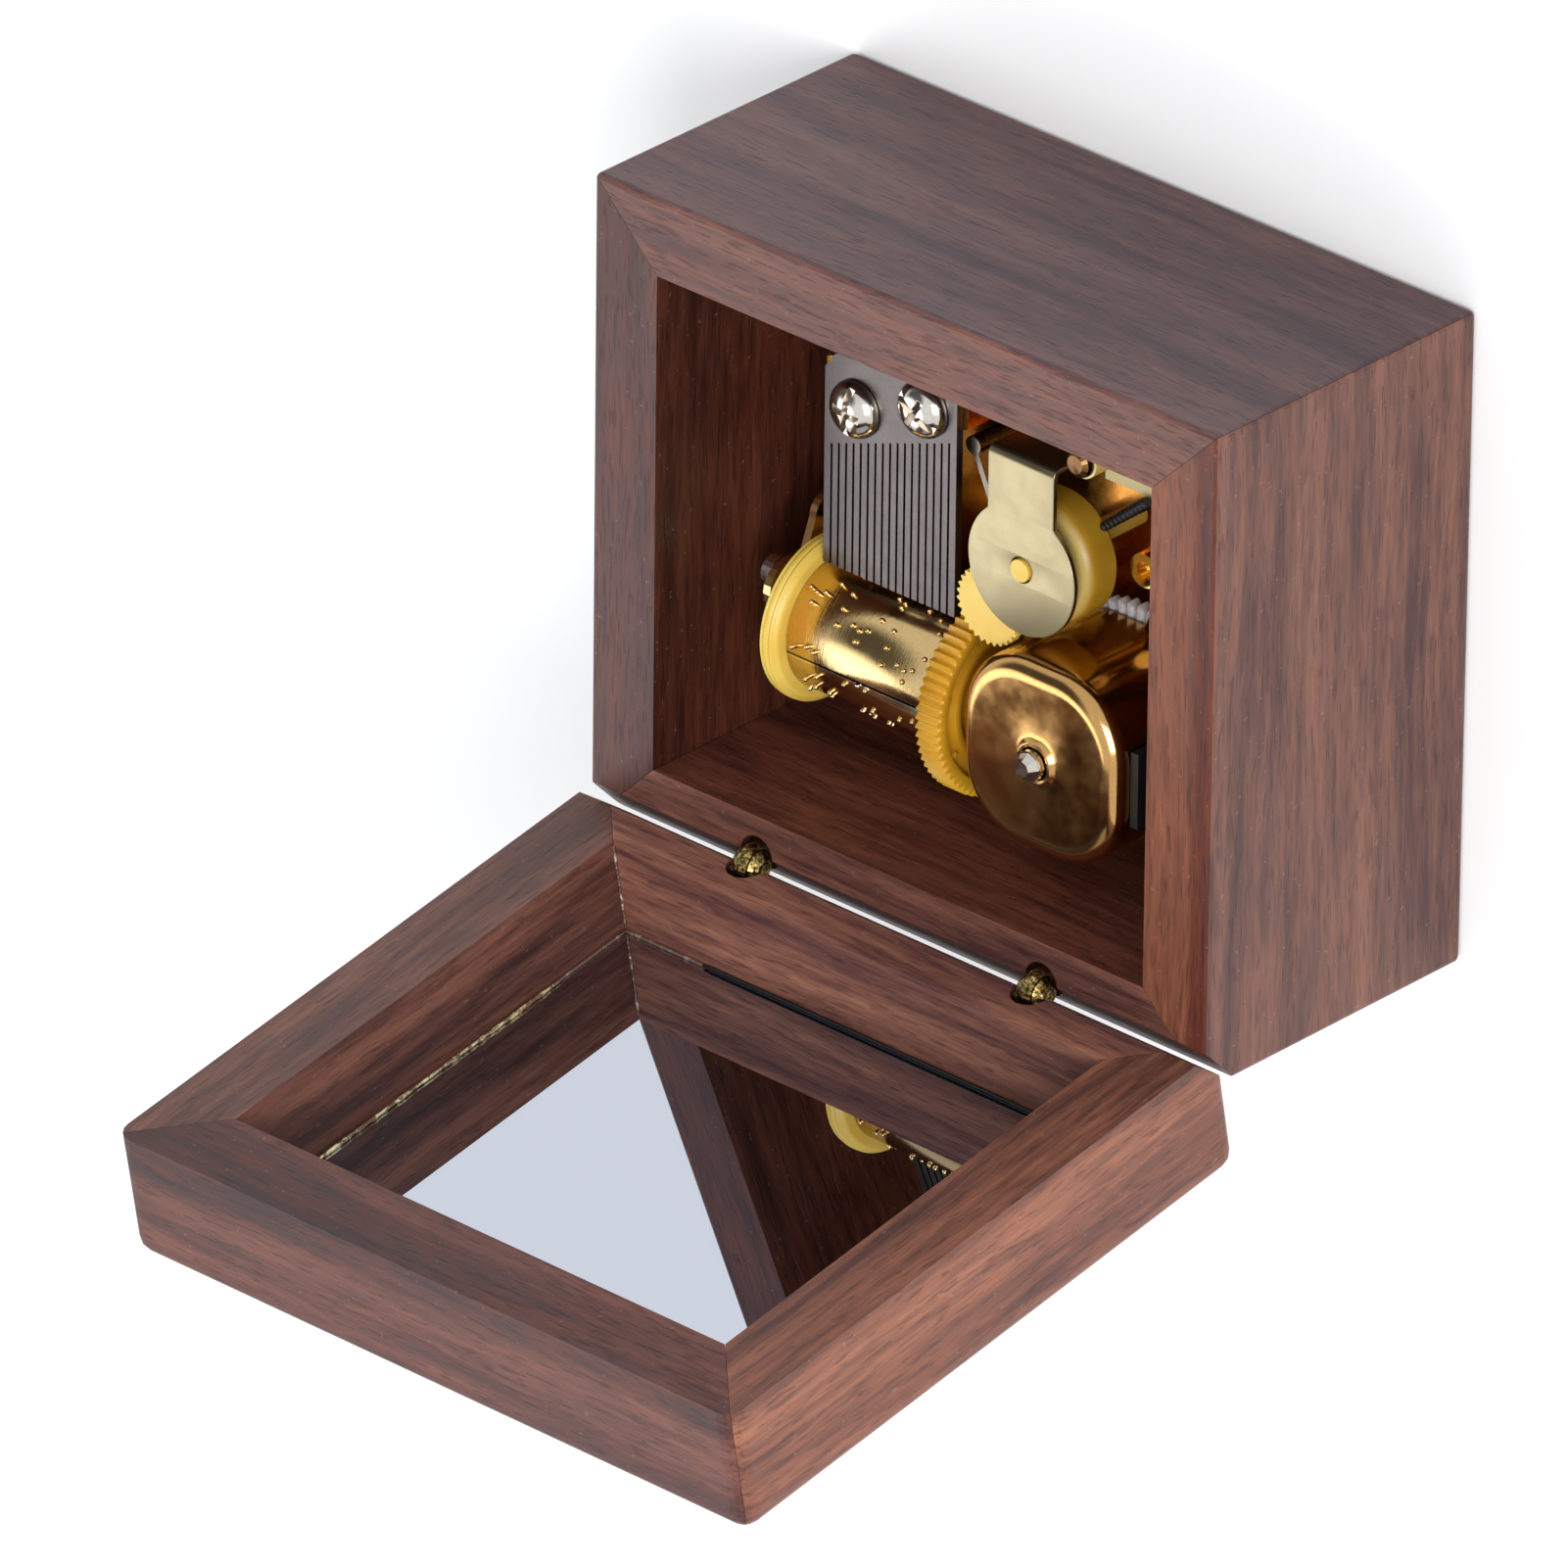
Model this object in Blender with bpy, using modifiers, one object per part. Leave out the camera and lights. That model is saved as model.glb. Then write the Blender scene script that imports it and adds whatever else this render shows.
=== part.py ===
"""Wooden music box with a mirror lid and a wind-up comb movement.

The box stands on its base, z = 0 at the underside. X runs along the hinge,
the hinge side is at +Y and the front at -Y. The lid rests open on its stop.
The sizes are laid out about the middle of the box. At the end the whole part
is moved so that the origin is the middle of the front wall's underside.
All sizes are written in millimetres and turned into metres by MM.
"""
import math

import bmesh
import bpy
from mathutils import Matrix, Vector

MM = 0.001

# Box
BODY_H = 34.6             # body, underside to rim
SIDE_GAP = 1.9            # movement to the side walls
BACK_GAP = 0.4            # movement to the back wall
WALL = 7.8                # all walls and lid rails
EASE = 0.5                # small rounding of the body's outer edges
GLUE = 0.04               # joint line between glued pieces
SEAT = 0.06               # play between a piece and what it rests on
RUN = 0.3                 # running clearance of moving pieces
RECESS_H = 7.6            # hollow under the base panel, for the key
PANEL_T = 2.9             # base panel thickness
HINGE_BEVEL = 3.9         # chamfer along the hinge-side rims

# Lid
LID_GAP = 0.3             # between the two rims when closed
LID_ROUND = 1.8           # rounding of the lid's outer face edges
LID_OPEN = 100.7          # degrees from closed to the stop
MIRROR_DEPTH = 10.2       # rim to mirror
MIRROR_T = 1.2
LID_PANEL_T = 1.94        # outer board behind the mirror
HINGE_INSET = 3.1         # pin to the rear face
HINGE_RISE = 0.6          # pin above the body's rim
HINGE_LEFT = 17.2         # left hinge from the middle
HINGE_RIGHT = 17.9        # right hinge from the middle
BARREL_R = 1.9
BARREL_LEN = 9.0
BARREL_BACK = 0.7         # barrel's axis in front of the pin
KNUCKLE_R = 1.85          # ball of knuckles about the pin
KNUCKLE_HALF = 1.6        # half of the ball's width along the pin
KNUCKLE_GAP = 0.15        # from the ball to the other barrel's end
TONGUE_W = 1.5
TONGUE_GAP = 0.12
PIN_R = 0.6

# Movement: cylinder and comb
BEDPLATE_T = 1.8
PLATE_RIM = 0.5           # bedplate past the feet and posts
MOUNT_INSET = 4.5         # mounting screws from the bedplate's edges
GEAR_FLOOR = 0.8          # cylinder gear above the interior floor
CYL_Y = 11.1
CYL_R = 6.6
CYL_PAST_COMB = 0.4       # cylinder past the comb's left end
CYL_TO_GEAR = 2.25        # cylinder past the comb's right end
RING_R = 8.2
RING_T = 1.7
RING_GROOVE = 0.3
RING_TO_BEARING = 1.24
BEARING_T = 0.8
BEARING_FAR = 4.5         # left bearing behind the axis
BEARING_NEAR = 11.0       # left bearing in front of the axis
BEARING_LOBE = 2.9        # its screw lobe above the axis
LOBE_NEAR = 3.4           # and in front of it
LOBE_R = 2.7
BEARING_FOOT = 2.1
TEETH = 18
TOOTH_PITCH = 0.9
SLIT = 0.26
COMB_T = 0.85
COMB_RIGHT = 3.5          # x of the comb's right end
COMB_RISE = 1.3           # comb's underside above the cylinder axis
COMB_SLANT = 0.355        # slope of the comb's root line
ROOT_Y = -8.2             # slit end at the left tooth
COMB_BACK = 9.1           # slit end to the comb's rear edge
PIN_H = 0.35              # music pins above the cylinder
MUSIC_PIN_R = 0.24
TIP_GAP = 0.12
ARBOR_R = 1.0
SCREW_HEAD_R = 2.85
SCREW_HEAD_H = 1.7
SCREW_R = 1.4
COMB_SCREW_IN = 3.92      # comb screws from the comb's ends
COMB_SCREW_BACK = 3.55    # and behind the slit ends

# Movement: gears and spring
GEAR_R = 9.9
GEAR_T = 2.7
GEAR_TEETH = 40
GEAR_TOOTH = 0.5
GEAR_TO_BEARING = 0.7
HOUSING_SIZE = 19.2       # across the flats
HOUSING_GAP = 0.79        # from the right bearing to the housing
HOUSING_FRONT = 0.4       # y of the housing's front face
HOUSING_CORNER = 7.5
HOUSING_H = 13.0
HOUSING_WALL = 0.6
HOUSING_ROUND = 1.8
BOSS_R = 2.15             # ring round the shaft on the housing's top
BOSS_H = 0.5
SHAFT_PLAY = 0.15
EAR_OUT = 3.3             # ear centres outside the housing
EAR_R = 2.0
EAR_T = 0.7
EAR_TURNS = (112, 180, 248)  # directions of the ears, in degrees from +X
RIVET_R = 1.5
WINDER_R = 1.5
WINDER_TOP = 2.0          # shaft above the housing
WINDER_TIP = 0.9          # height of its eight-sided tip
DRIVE_R = 10.9
DRIVE_T = 1.5
DRIVE_RISE = 5.4          # great wheel above the interior floor
DRIVE_TEETH = 44
SPRING_TURNS = 5
SPRING_STRIP = 0.35
SPRING_CLEAR = 1.7        # housing above and below the spring
KEY_W = 24.0
KEY_H = 4.4
KEY_T = 1.6
KEY_HUB_R = 3.0
KEY_HUB_H = 1.8
KEY_DROP = 2.3            # wings below the base panel

# Movement: governor
GOV_X = -9.2
GOV_Y = -7.2
GOV_TOP = 18.0            # upper face of the bracket above the floor
BRACKET_T = 0.55
DISC_R = 6.5
STEM_W = 8.0
STEM_SHIFT = 0.2          # stem's middle to the left of the disc's
STEM_LEN = 11.3           # disc's centre to the bend
FOOT_LEN = 4.0
DRUM_R = 6.3
DRUM_TOP = 15.8
DRUM_H = 3.9
DRUM_WALL = 0.9
GOV_ARBOR_R = 1.1
GOV_PINION_TEETH = 25
FLY_LEN = 6.6
FLY_W = 3.8
FLY_T = 1.4
FIRST_OUT_X = 4.7         # first gear from the governor's axis
FIRST_OUT_Y = 5.7
FIRST_R = 3.9
FIRST_TEETH = 30
FIRST_T = 1.0
FIRST_SHAFT_R = 0.6
FIRST_PINION_TEETH = 12
FIRST_PINION_H = 3.4
MESH_GAP = 0.25
PLATFORM_RISE = 11.5      # platform's top above the interior floor
PLATFORM_T = 1.2
PLATFORM_D = 6.9
PLATFORM_OUT = 4.0        # platform in front of the stem's bend
PLATFORM_INSET = 3.8      # platform from the bedplate's right edge
PLATFORM_LEG = 5.0
POST_R = 1.7              # post on the platform for its screw
POST_RISE = 4.9           # post above the platform
POST_OUT = 1.95           # post's middle to the right of the stem
POST_NEAR = 1.2           # and in front of the bend
POST_HEAD_R = 1.5
POST_HEAD_H = 1.1
PILLAR_OUT = 8.6          # pillar to the right of the governor's axis
PILLAR_BACK = 0.4         # and in front of it
PILLAR_R = 1.7
PILLAR_RISE = 11.0
SET_SCREW_LEN = 7.0
SET_SCREW_R = 0.55

# Values worked out from the ones above
FLOOR = RECESS_H + PANEL_T
PLATE_LOW = FLOOR + SEAT
PLATE_TOP = PLATE_LOW + BEDPLATE_T
AXIS_Z = FLOOR + GEAR_R + GEAR_FLOOR
COMB_LEFT = COMB_RIGHT + TEETH * TOOTH_PITCH
CYL_LEFT = COMB_LEFT + CYL_PAST_COMB
CYL_RIGHT = COMB_RIGHT - CYL_TO_GEAR
RING_LOW = CYL_LEFT + SEAT
GEAR_LEFT = CYL_RIGHT - SEAT
GEAR_RIGHT = GEAR_LEFT - GEAR_T
LEFT_BEARING = (RING_LOW + RING_T + RING_TO_BEARING, RING_LOW + RING_T + RING_TO_BEARING + BEARING_T)
RIGHT_BEARING = (GEAR_RIGHT - GEAR_TO_BEARING - BEARING_T, GEAR_RIGHT - GEAR_TO_BEARING)
SPRING_X = RIGHT_BEARING[0] - HOUSING_GAP - HOUSING_SIZE / 2
SPRING_Y = HOUSING_FRONT + HOUSING_SIZE / 2
EAR_REACH = HOUSING_SIZE / 2 + EAR_OUT
STEM_END = GOV_Y - STEM_LEN
STEM_LEFT = GOV_X + STEM_SHIFT + STEM_W / 2
STEM_RIGHT = STEM_LEFT - STEM_W
PLATE_LEFT = LEFT_BEARING[1] + BEARING_FOOT + PLATE_RIM
PLATE_RIGHT = SPRING_X - EAR_REACH - EAR_R + PLATE_RIM
PLATE_NEAR = STEM_END - FOOT_LEN - 2 * PLATE_RIM
PLATE_FAR = SPRING_Y + EAR_REACH + EAR_R - PLATE_RIM
IN_X = max(PLATE_LEFT, PLATE_RIM - PLATE_RIGHT) + SIDE_GAP
IN_Y = max(-PLATE_NEAR, PLATE_FAR + PLATE_RIM) + BACK_GAP
HALF_W = IN_X + WALL
HALF_D = IN_Y + WALL
HINGE_Y = HALF_D - HINGE_INSET
HINGE_Z = BODY_H + HINGE_RISE
COMB_LOW = AXIS_Z + COMB_RISE
COMB_TOP = COMB_LOW + COMB_T
TIP_REACH = math.sqrt((CYL_R + PIN_H + TIP_GAP) ** 2 - COMB_RISE ** 2)
TIP_Y = CYL_Y - TIP_REACH
BLOCK_TOP = COMB_LOW - SEAT
DRIVE_LOW = FLOOR + DRIVE_RISE
HOUSING_LOW = DRIVE_LOW + DRIVE_T + RUN
HOUSING_TOP = HOUSING_LOW + HOUSING_H
SPRING_H = HOUSING_H - HOUSING_WALL - 2 * SPRING_CLEAR
GOV_Z = FLOOR + GOV_TOP
DRUM_Z = FLOOR + DRUM_TOP
FLY_Z = DRUM_Z - DRUM_H + 0.6
FIRST_X = GOV_X + FIRST_OUT_X
FIRST_Y = GOV_Y + FIRST_OUT_Y
FIRST_Z = DRUM_Z + RUN
GOV_PINION_R = math.hypot(FIRST_OUT_X, FIRST_OUT_Y) - FIRST_R - MESH_GAP
FIRST_PINION_R = math.hypot(FIRST_X - SPRING_X, FIRST_Y - SPRING_Y) - DRIVE_R - MESH_GAP
LID_H = MIRROR_DEPTH + MIRROR_T + SEAT + LID_PANEL_T

ROUND_STEPS = 40
SMALL_STEPS = 20
SHARP = math.radians(35)
MERGE = 0.00002


def clear_scene():
    for item in list(bpy.data.objects):
        bpy.data.objects.remove(item, do_unlink=True)


def new_collection(name):
    found = bpy.data.collections.new(name)
    bpy.context.scene.collection.children.link(found)
    return found


clear_scene()
parts = new_collection("music_box")
cutters = new_collection("cutters")


def paint(name, colour, roughness, metallic):
    material = bpy.data.materials.new(name)
    material.use_nodes = True
    shader = material.node_tree.nodes["Principled BSDF"]
    shader.inputs["Base Color"].default_value = (*colour, 1.0)
    shader.inputs["Roughness"].default_value = roughness
    shader.inputs["Metallic"].default_value = metallic
    material.diffuse_color = (*colour, 1.0)
    return material


WALNUT = ((0.135, 0.062, 0.045), 0.45, 0.0)
PLY = ((0.20, 0.11, 0.06), 0.6, 0.0)
GLASS = ((0.78, 0.82, 0.86), 0.03, 1.0)
GOLD = ((0.80, 0.60, 0.22), 0.18, 1.0)
BRONZE = ((0.16, 0.12, 0.07), 0.35, 1.0)
STEEL = ((0.36, 0.36, 0.38), 0.38, 1.0)
NICKEL = ((0.78, 0.76, 0.73), 0.12, 1.0)
YELLOW = ((0.80, 0.58, 0.12), 0.4, 0.0)
CREAM = ((0.80, 0.70, 0.36), 0.4, 0.0)
WHITE = ((0.80, 0.80, 0.80), 0.4, 0.0)
BLACK = ((0.02, 0.02, 0.02), 0.45, 0.0)


def finish(item, name, look, parent=None):
    """Name a solid, give it its own material and put it in the parts."""
    item.name = name
    item.data.name = name
    colour, roughness, metallic = look
    item.data.materials.clear()
    item.data.materials.append(paint(name + "_finish", colour, roughness, metallic))
    item.data.shade_smooth()
    item.data.set_sharp_from_angle(angle=SHARP)
    for owner in list(item.users_collection):
        owner.objects.unlink(item)
    parts.objects.link(item)
    if parent is not None:
        item.parent = parent
        item.matrix_parent_inverse = Matrix.Identity(4)
    return item


def as_cutter(item):
    item.hide_render = True
    item.display_type = "WIRE"
    for owner in list(item.users_collection):
        owner.objects.unlink(item)
    cutters.objects.link(item)
    return item


def from_bmesh(mesh_data, name="solid"):
    mesh = bpy.data.meshes.new(name)
    mesh_data.to_mesh(mesh)
    mesh_data.free()
    item = bpy.data.objects.new(name, mesh)
    bpy.context.scene.collection.objects.link(item)
    return item


def metres(values):
    return Vector(values) * MM


def box(low, high):
    """A box between two corners in millimetres."""
    low, high = Vector(low), Vector(high)
    work = bmesh.new()
    bmesh.ops.create_cube(work, size=1.0)
    bmesh.ops.scale(work, vec=(high - low) * MM, verts=work.verts)
    bmesh.ops.translate(work, vec=(low + high) / 2 * MM, verts=work.verts)
    return from_bmesh(work)


def rod(radius, start, end, axis="Z", steps=SMALL_STEPS, tip_radius=None):
    """A cylinder or cone along an axis; start and end are points on it."""
    start, end = Vector(start), Vector(end)
    tip = radius if tip_radius is None else tip_radius
    turn = {"Z": Matrix.Identity(4), "X": Matrix.Rotation(math.pi / 2, 4, "Y"),
            "Y": Matrix.Rotation(-math.pi / 2, 4, "X")}[axis]
    work = bmesh.new()
    bmesh.ops.create_cone(work, cap_ends=True, segments=steps, radius1=radius * MM,
                          radius2=tip * MM, depth=(end - start).length * MM)
    place = Matrix.Translation((start + end) / 2 * MM) @ turn
    bmesh.ops.transform(work, matrix=place, verts=work.verts)
    return from_bmesh(work)


def prism(outline, low, high, holes=(), axis="Z", origin=(0.0, 0.0, 0.0)):
    """A flat outline in millimetres, extruded from low to high along an axis."""
    curve = bpy.data.curves.new("outline", "CURVE")
    curve.dimensions = "2D"
    curve.fill_mode = "BOTH"
    curve.extrude = (high - low) / 2 * MM
    for ring in (outline, *holes):
        spline = curve.splines.new("POLY")
        spline.points.add(len(ring) - 1)
        for point, (u, v) in zip(spline.points, ring):
            point.co = (u * MM, v * MM, 0.0, 1.0)
        spline.use_cyclic_u = True
    source = bpy.data.objects.new("outline", curve)
    bpy.context.scene.collection.objects.link(source)
    turn = {"Z": Matrix.Identity(4),
            "X": Matrix(((0, 0, 1, 0), (1, 0, 0, 0), (0, 1, 0, 0), (0, 0, 0, 1)))}[axis]
    lift = Matrix.Translation((0.0, 0.0, (low + high) / 2 * MM))
    source.matrix_world = Matrix.Translation(metres(origin)) @ turn @ lift
    bpy.context.view_layer.update()
    graph = bpy.context.evaluated_depsgraph_get()
    mesh = bpy.data.meshes.new_from_object(source.evaluated_get(graph))
    mesh.transform(source.matrix_world)
    work = bmesh.new()
    work.from_mesh(mesh)
    bmesh.ops.remove_doubles(work, verts=work.verts, dist=MERGE * 0.1)
    bmesh.ops.recalc_face_normals(work, faces=work.faces)
    bpy.data.objects.remove(source, do_unlink=True)
    bpy.data.meshes.remove(mesh)
    return from_bmesh(work)


def turned(profile, place, steps=ROUND_STEPS):
    """A profile of (radius, height) from top to bottom, turned about Z."""
    mesh = bpy.data.meshes.new("profile")
    points = [(r * MM, 0.0, h * MM) for r, h in profile]
    edges = [(i, i + 1) for i in range(len(points) - 1)]
    if profile[0][0] > 0:
        edges.append((len(points) - 1, 0))
    mesh.from_pydata(points, edges, [])
    item = bpy.data.objects.new("turned", mesh)
    bpy.context.scene.collection.objects.link(item)
    item.location = metres(place)
    screw = item.modifiers.new("turn", "SCREW")
    screw.steps = steps
    screw.render_steps = steps
    screw.use_merge_vertices = True
    screw.merge_threshold = MERGE
    screw.use_smooth_shade = True
    return item


def combine(item, tool, operation):
    """Join, cut or intersect two solids with a Boolean that stays live."""
    as_cutter(tool)
    step = item.modifiers.new(operation.lower(), "BOOLEAN")
    step.operation = operation
    step.solver = "EXACT"
    step.object = tool
    return item


def cut(item, tool):
    return combine(item, tool, "DIFFERENCE")


def join(item, tool):
    return combine(item, tool, "UNION")


def keep(item, tool):
    return combine(item, tool, "INTERSECT")


def arc(centre_u, centre_v, radius, first, last, steps):
    """Points along an arc, angles in degrees."""
    points = []
    for i in range(steps + 1):
        angle = math.radians(first + (last - first) * i / steps)
        points.append((centre_u + radius * math.cos(angle),
                       centre_v + radius * math.sin(angle)))
    return points


def ring_of(centre_u, centre_v, radius, steps=SMALL_STEPS):
    return arc(centre_u, centre_v, radius, 0, 360 - 360 / steps, steps - 1)


def rounded_rectangle(left, right, near, far, radius, steps=6):
    return (arc(right - radius, far - radius, radius, 0, 90, steps)
            + arc(left + radius, far - radius, radius, 90, 180, steps)
            + arc(left + radius, near + radius, radius, 180, 270, steps)
            + arc(right - radius, near + radius, radius, 270, 360, steps))


def gear_outline(centre_u, centre_v, teeth, radius, depth):
    """Teeth with eased tips round a circle."""
    points = []
    root = radius - depth
    flank = radius - depth * 0.2
    shares = ((0.12, root), (0.36, flank), (0.50, radius), (0.64, flank), (0.88, root))
    for i in range(teeth):
        for share, r in shares:
            angle = math.tau * (i + share) / teeth
            points.append((centre_u + r * math.cos(angle), centre_v + r * math.sin(angle)))
    return points


def eased_block(low, high, soft, radius, segments):
    """A box whose chosen edges are rounded; soft says which edges, by midpoint."""
    low, high = Vector(low) * MM, Vector(high) * MM
    work = bmesh.new()
    bmesh.ops.create_cube(work, size=1.0)
    bmesh.ops.scale(work, vec=high - low, verts=work.verts)
    bmesh.ops.translate(work, vec=(low + high) / 2, verts=work.verts)
    chosen = [e for e in work.edges if soft(e)]
    bmesh.ops.bevel(work, geom=chosen, offset=radius * MM, segments=segments,
                    profile=0.5, affect="EDGES", clamp_overlap=True)
    return from_bmesh(work)


def is_upright(edge):
    along = edge.verts[0].co - edge.verts[1].co
    return abs(along.z) > abs(along.x) and abs(along.z) > abs(along.y)


def mitre_wedge(side, low, high):
    """The plan area of one wall, cut at 45 degrees at the corners."""
    spare = 2.0
    inner = WALL + spare
    line = GLUE / 2 * math.sqrt(2)
    if side in ("front", "back"):
        half, reach = HALF_W, HALF_D
    else:
        half, reach = HALF_D, HALF_W
    outline = [(-half - spare + line, -reach - spare), (half + spare - line, -reach - spare),
               (half - inner - line, -reach + inner), (-half + inner + line, -reach + inner)]
    quarter = {"front": 0, "right": 1, "back": 2, "left": 3}[side]
    turn = Matrix.Rotation(math.radians(-90 * quarter), 2)
    # Quarter turns carry the front wedge round to the other sides.
    turned_outline = [tuple(turn @ Vector(p)) for p in outline]
    return prism(turned_outline, low, high)


def hinge_groove(rim, outward):
    """A prism that takes the chamfer off a hinge-side rim edge."""
    size = HINGE_BEVEL
    over = 3.0
    y = HALF_D
    if outward > 0:
        outline = [(y - size - over, rim + over), (y + over, rim + over),
                   (y + over, rim - size - over)]
    else:
        outline = [(y - size - over, rim - over), (y + over, rim + size + over),
                   (y + over, rim - over)]
    return prism(outline, -HALF_W - over, HALF_W + over, axis="X")


# Box body

def body_wall(side):
    block = eased_block((-HALF_W, -HALF_D, 0.0), (HALF_W, HALF_D, BODY_H),
                        lambda e: True, EASE, 2)
    cut(block, box((-IN_X, -IN_Y, -1.0), (IN_X, IN_Y, BODY_H + 1.0)))
    cut(block, hinge_groove(BODY_H, 1))
    keep(block, mitre_wedge(side, -2.0, BODY_H + 2.0))
    if side == "back":
        for x in (-HINGE_RIGHT, HINGE_LEFT):
            cut(block, barrel_bore(x, BODY_H - BARREL_LEN - SEAT, BODY_H + 3.0))
    return block


def barrel_bore(x, low, high):
    y = HINGE_Y - BARREL_BACK
    return rod(BARREL_R + SEAT, (x, y, low), (x, y, high), steps=SMALL_STEPS)


for wall_side in ("front", "back", "left", "right"):
    finish(body_wall(wall_side), "wall_" + wall_side, WALNUT)

base_panel = box((-IN_X + GLUE, -IN_Y + GLUE, RECESS_H), (IN_X - GLUE, IN_Y - GLUE, FLOOR))
MOUNT_SCREWS = ((PLATE_LEFT - MOUNT_INSET, PLATE_NEAR + MOUNT_INSET),
                (PLATE_LEFT - MOUNT_INSET, PLATE_FAR - MOUNT_INSET),
                (PLATE_RIGHT + MOUNT_INSET, SPRING_Y - EAR_REACH))
for mount_x, mount_y in MOUNT_SCREWS:
    cut(base_panel, rod(SCREW_R + RUN, (mount_x, mount_y, RECESS_H - 1), (mount_x, mount_y, FLOOR + 1)))
cut(base_panel, rod(WINDER_R + RUN, (SPRING_X, SPRING_Y, RECESS_H - 1),
                    (SPRING_X, SPRING_Y, FLOOR + 1)))
finish(base_panel, "base_panel", PLY)


# Lid, modelled closed about the hinge axis and then opened by its empty

lid_hinge = bpy.data.objects.new("lid_hinge", None)
parts.objects.link(lid_hinge)
lid_hinge.location = metres((0.0, HINGE_Y, HINGE_Z))
lid_hinge.rotation_euler = (math.radians(-LID_OPEN), 0.0, 0.0)
LID_RIM = BODY_H + LID_GAP
LID_TOP = LID_RIM + LID_H
MIRROR_Z = LID_RIM + MIRROR_DEPTH
TO_HINGE = Matrix.Translation(-metres((0.0, HINGE_Y, HINGE_Z)))


def on_lid(item):
    """Move a closed-lid solid and its tools into the hinge's own frame."""
    item.data.transform(TO_HINGE)
    for step in item.modifiers:
        on_lid(step.object)
    item.parent = lid_hinge
    return item


def soft_on_lid(edge):
    middle = (edge.verts[0].co + edge.verts[1].co) / 2
    return is_upright(edge) or middle.z > (LID_TOP - 1.0) * MM


def lid_rail(side):
    block = eased_block((-HALF_W, -HALF_D, LID_RIM), (HALF_W, HALF_D, LID_TOP),
                        soft_on_lid, LID_ROUND, 4)
    cut(block, box((-IN_X, -IN_Y, LID_RIM - 1.0), (IN_X, IN_Y, LID_TOP + 1.0)))
    cut(block, hinge_groove(LID_RIM, -1))
    keep(block, mitre_wedge(side, LID_RIM - 2.0, LID_TOP + 2.0))
    if side == "back":
        for x in (-HINGE_RIGHT, HINGE_LEFT):
            cut(block, barrel_bore(x, LID_RIM - 3.0, LID_RIM + BARREL_LEN + SEAT))
    return block


for rail_side in ("front", "back", "left", "right"):
    rail = on_lid(lid_rail(rail_side))
    finish(rail, "lid_rail_" + rail_side, WALNUT, lid_hinge)

MIRROR_TOP = MIRROR_Z + MIRROR_T
lid_panel = on_lid(box((-IN_X + GLUE, -IN_Y + GLUE, MIRROR_TOP + SEAT),
                       (IN_X - GLUE, IN_Y - GLUE, LID_TOP)))
finish(lid_panel, "lid_panel", WALNUT, lid_hinge)
lid_mirror = on_lid(box((-IN_X + SEAT, -IN_Y + SEAT, MIRROR_Z), (IN_X - SEAT, IN_Y - SEAT, MIRROR_TOP)))
finish(lid_mirror, "lid_mirror", GLASS, lid_hinge)


# Barrel hinges: two sunk barrels whose knuckles share a cross pin

def knuckle(x_from, x_to, web_half, upward):
    """A slice of a ball about the pin, with a web into its barrel."""
    work = bmesh.new()
    bmesh.ops.create_uvsphere(work, u_segments=20, v_segments=12, radius=KNUCKLE_R * MM)
    bmesh.ops.transform(work, matrix=Matrix.Rotation(math.pi / 2, 4, "Y"), verts=work.verts)
    middle = HINGE_LEFT if x_from > 0 else -HINGE_RIGHT
    bmesh.ops.translate(work, vec=metres((middle, HINGE_Y, HINGE_Z)), verts=work.verts)
    web_low, web_high = sorted((HINGE_Z, HINGE_Z + upward * (KNUCKLE_R + 1.0)))
    barrel_y = HINGE_Y - BARREL_BACK
    eye = from_bmesh(work)
    keep(eye, box((x_from, HINGE_Y - 3, HINGE_Z - 3), (x_to, HINGE_Y + 3, HINGE_Z + 3)))
    join(eye, box((x_from, barrel_y - web_half, web_low), (x_to, barrel_y + web_half, web_high)))
    return eye


def barrel(x, upward):
    barrel_y = HINGE_Y - BARREL_BACK
    near = HINGE_Z + upward * (KNUCKLE_R + KNUCKLE_GAP)
    rim = BODY_H if upward < 0 else LID_RIM
    far = rim + upward * BARREL_LEN
    low, high = sorted((near, far))
    solid = rod(BARREL_R, (x, barrel_y, low), (x, barrel_y, high))
    half = TONGUE_W / 2
    if upward < 0:
        spans = [(x - half, x + half)]
        web_half = 1.1
    else:
        side = half + TONGUE_GAP
        spans = [(x - KNUCKLE_HALF, x - side), (x + side, x + KNUCKLE_HALF)]
        web_half = 0.9
    for x_from, x_to in spans:
        join(solid, knuckle(x_from, x_to, web_half, upward))
    bore = PIN_R + (SEAT if upward < 0 else 0.1)
    cut(solid, rod(bore, (x - 4, HINGE_Y, HINGE_Z), (x + 4, HINGE_Y, HINGE_Z), axis="X", steps=16))
    return solid


for label, hinge_x in (("left", HINGE_LEFT), ("right", -HINGE_RIGHT)):
    finish(barrel(hinge_x, -1), "hinge_barrel_body_" + label, BRONZE)
    finish(on_lid(barrel(hinge_x, 1)), "hinge_barrel_lid_" + label, BRONZE, lid_hinge)
    pin = rod(PIN_R, (hinge_x - KNUCKLE_HALF, HINGE_Y, HINGE_Z), (hinge_x + KNUCKLE_HALF, HINGE_Y, HINGE_Z),
              axis="X", steps=16)
    finish(pin, "hinge_pin_" + label, BRONZE)


# Bedplate with the comb block, the gear's slot and the housing's posts

def ear_places():
    return [(SPRING_X + EAR_REACH * math.cos(math.radians(a)),
             SPRING_Y + EAR_REACH * math.sin(math.radians(a))) for a in EAR_TURNS]


def root_line(x):
    """Y of the slit ends at a place along the comb."""
    return ROOT_Y - COMB_SLANT * (COMB_LEFT - TOOTH_PITCH - x)


def comb_back(x):
    return root_line(x) - COMB_BACK


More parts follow.
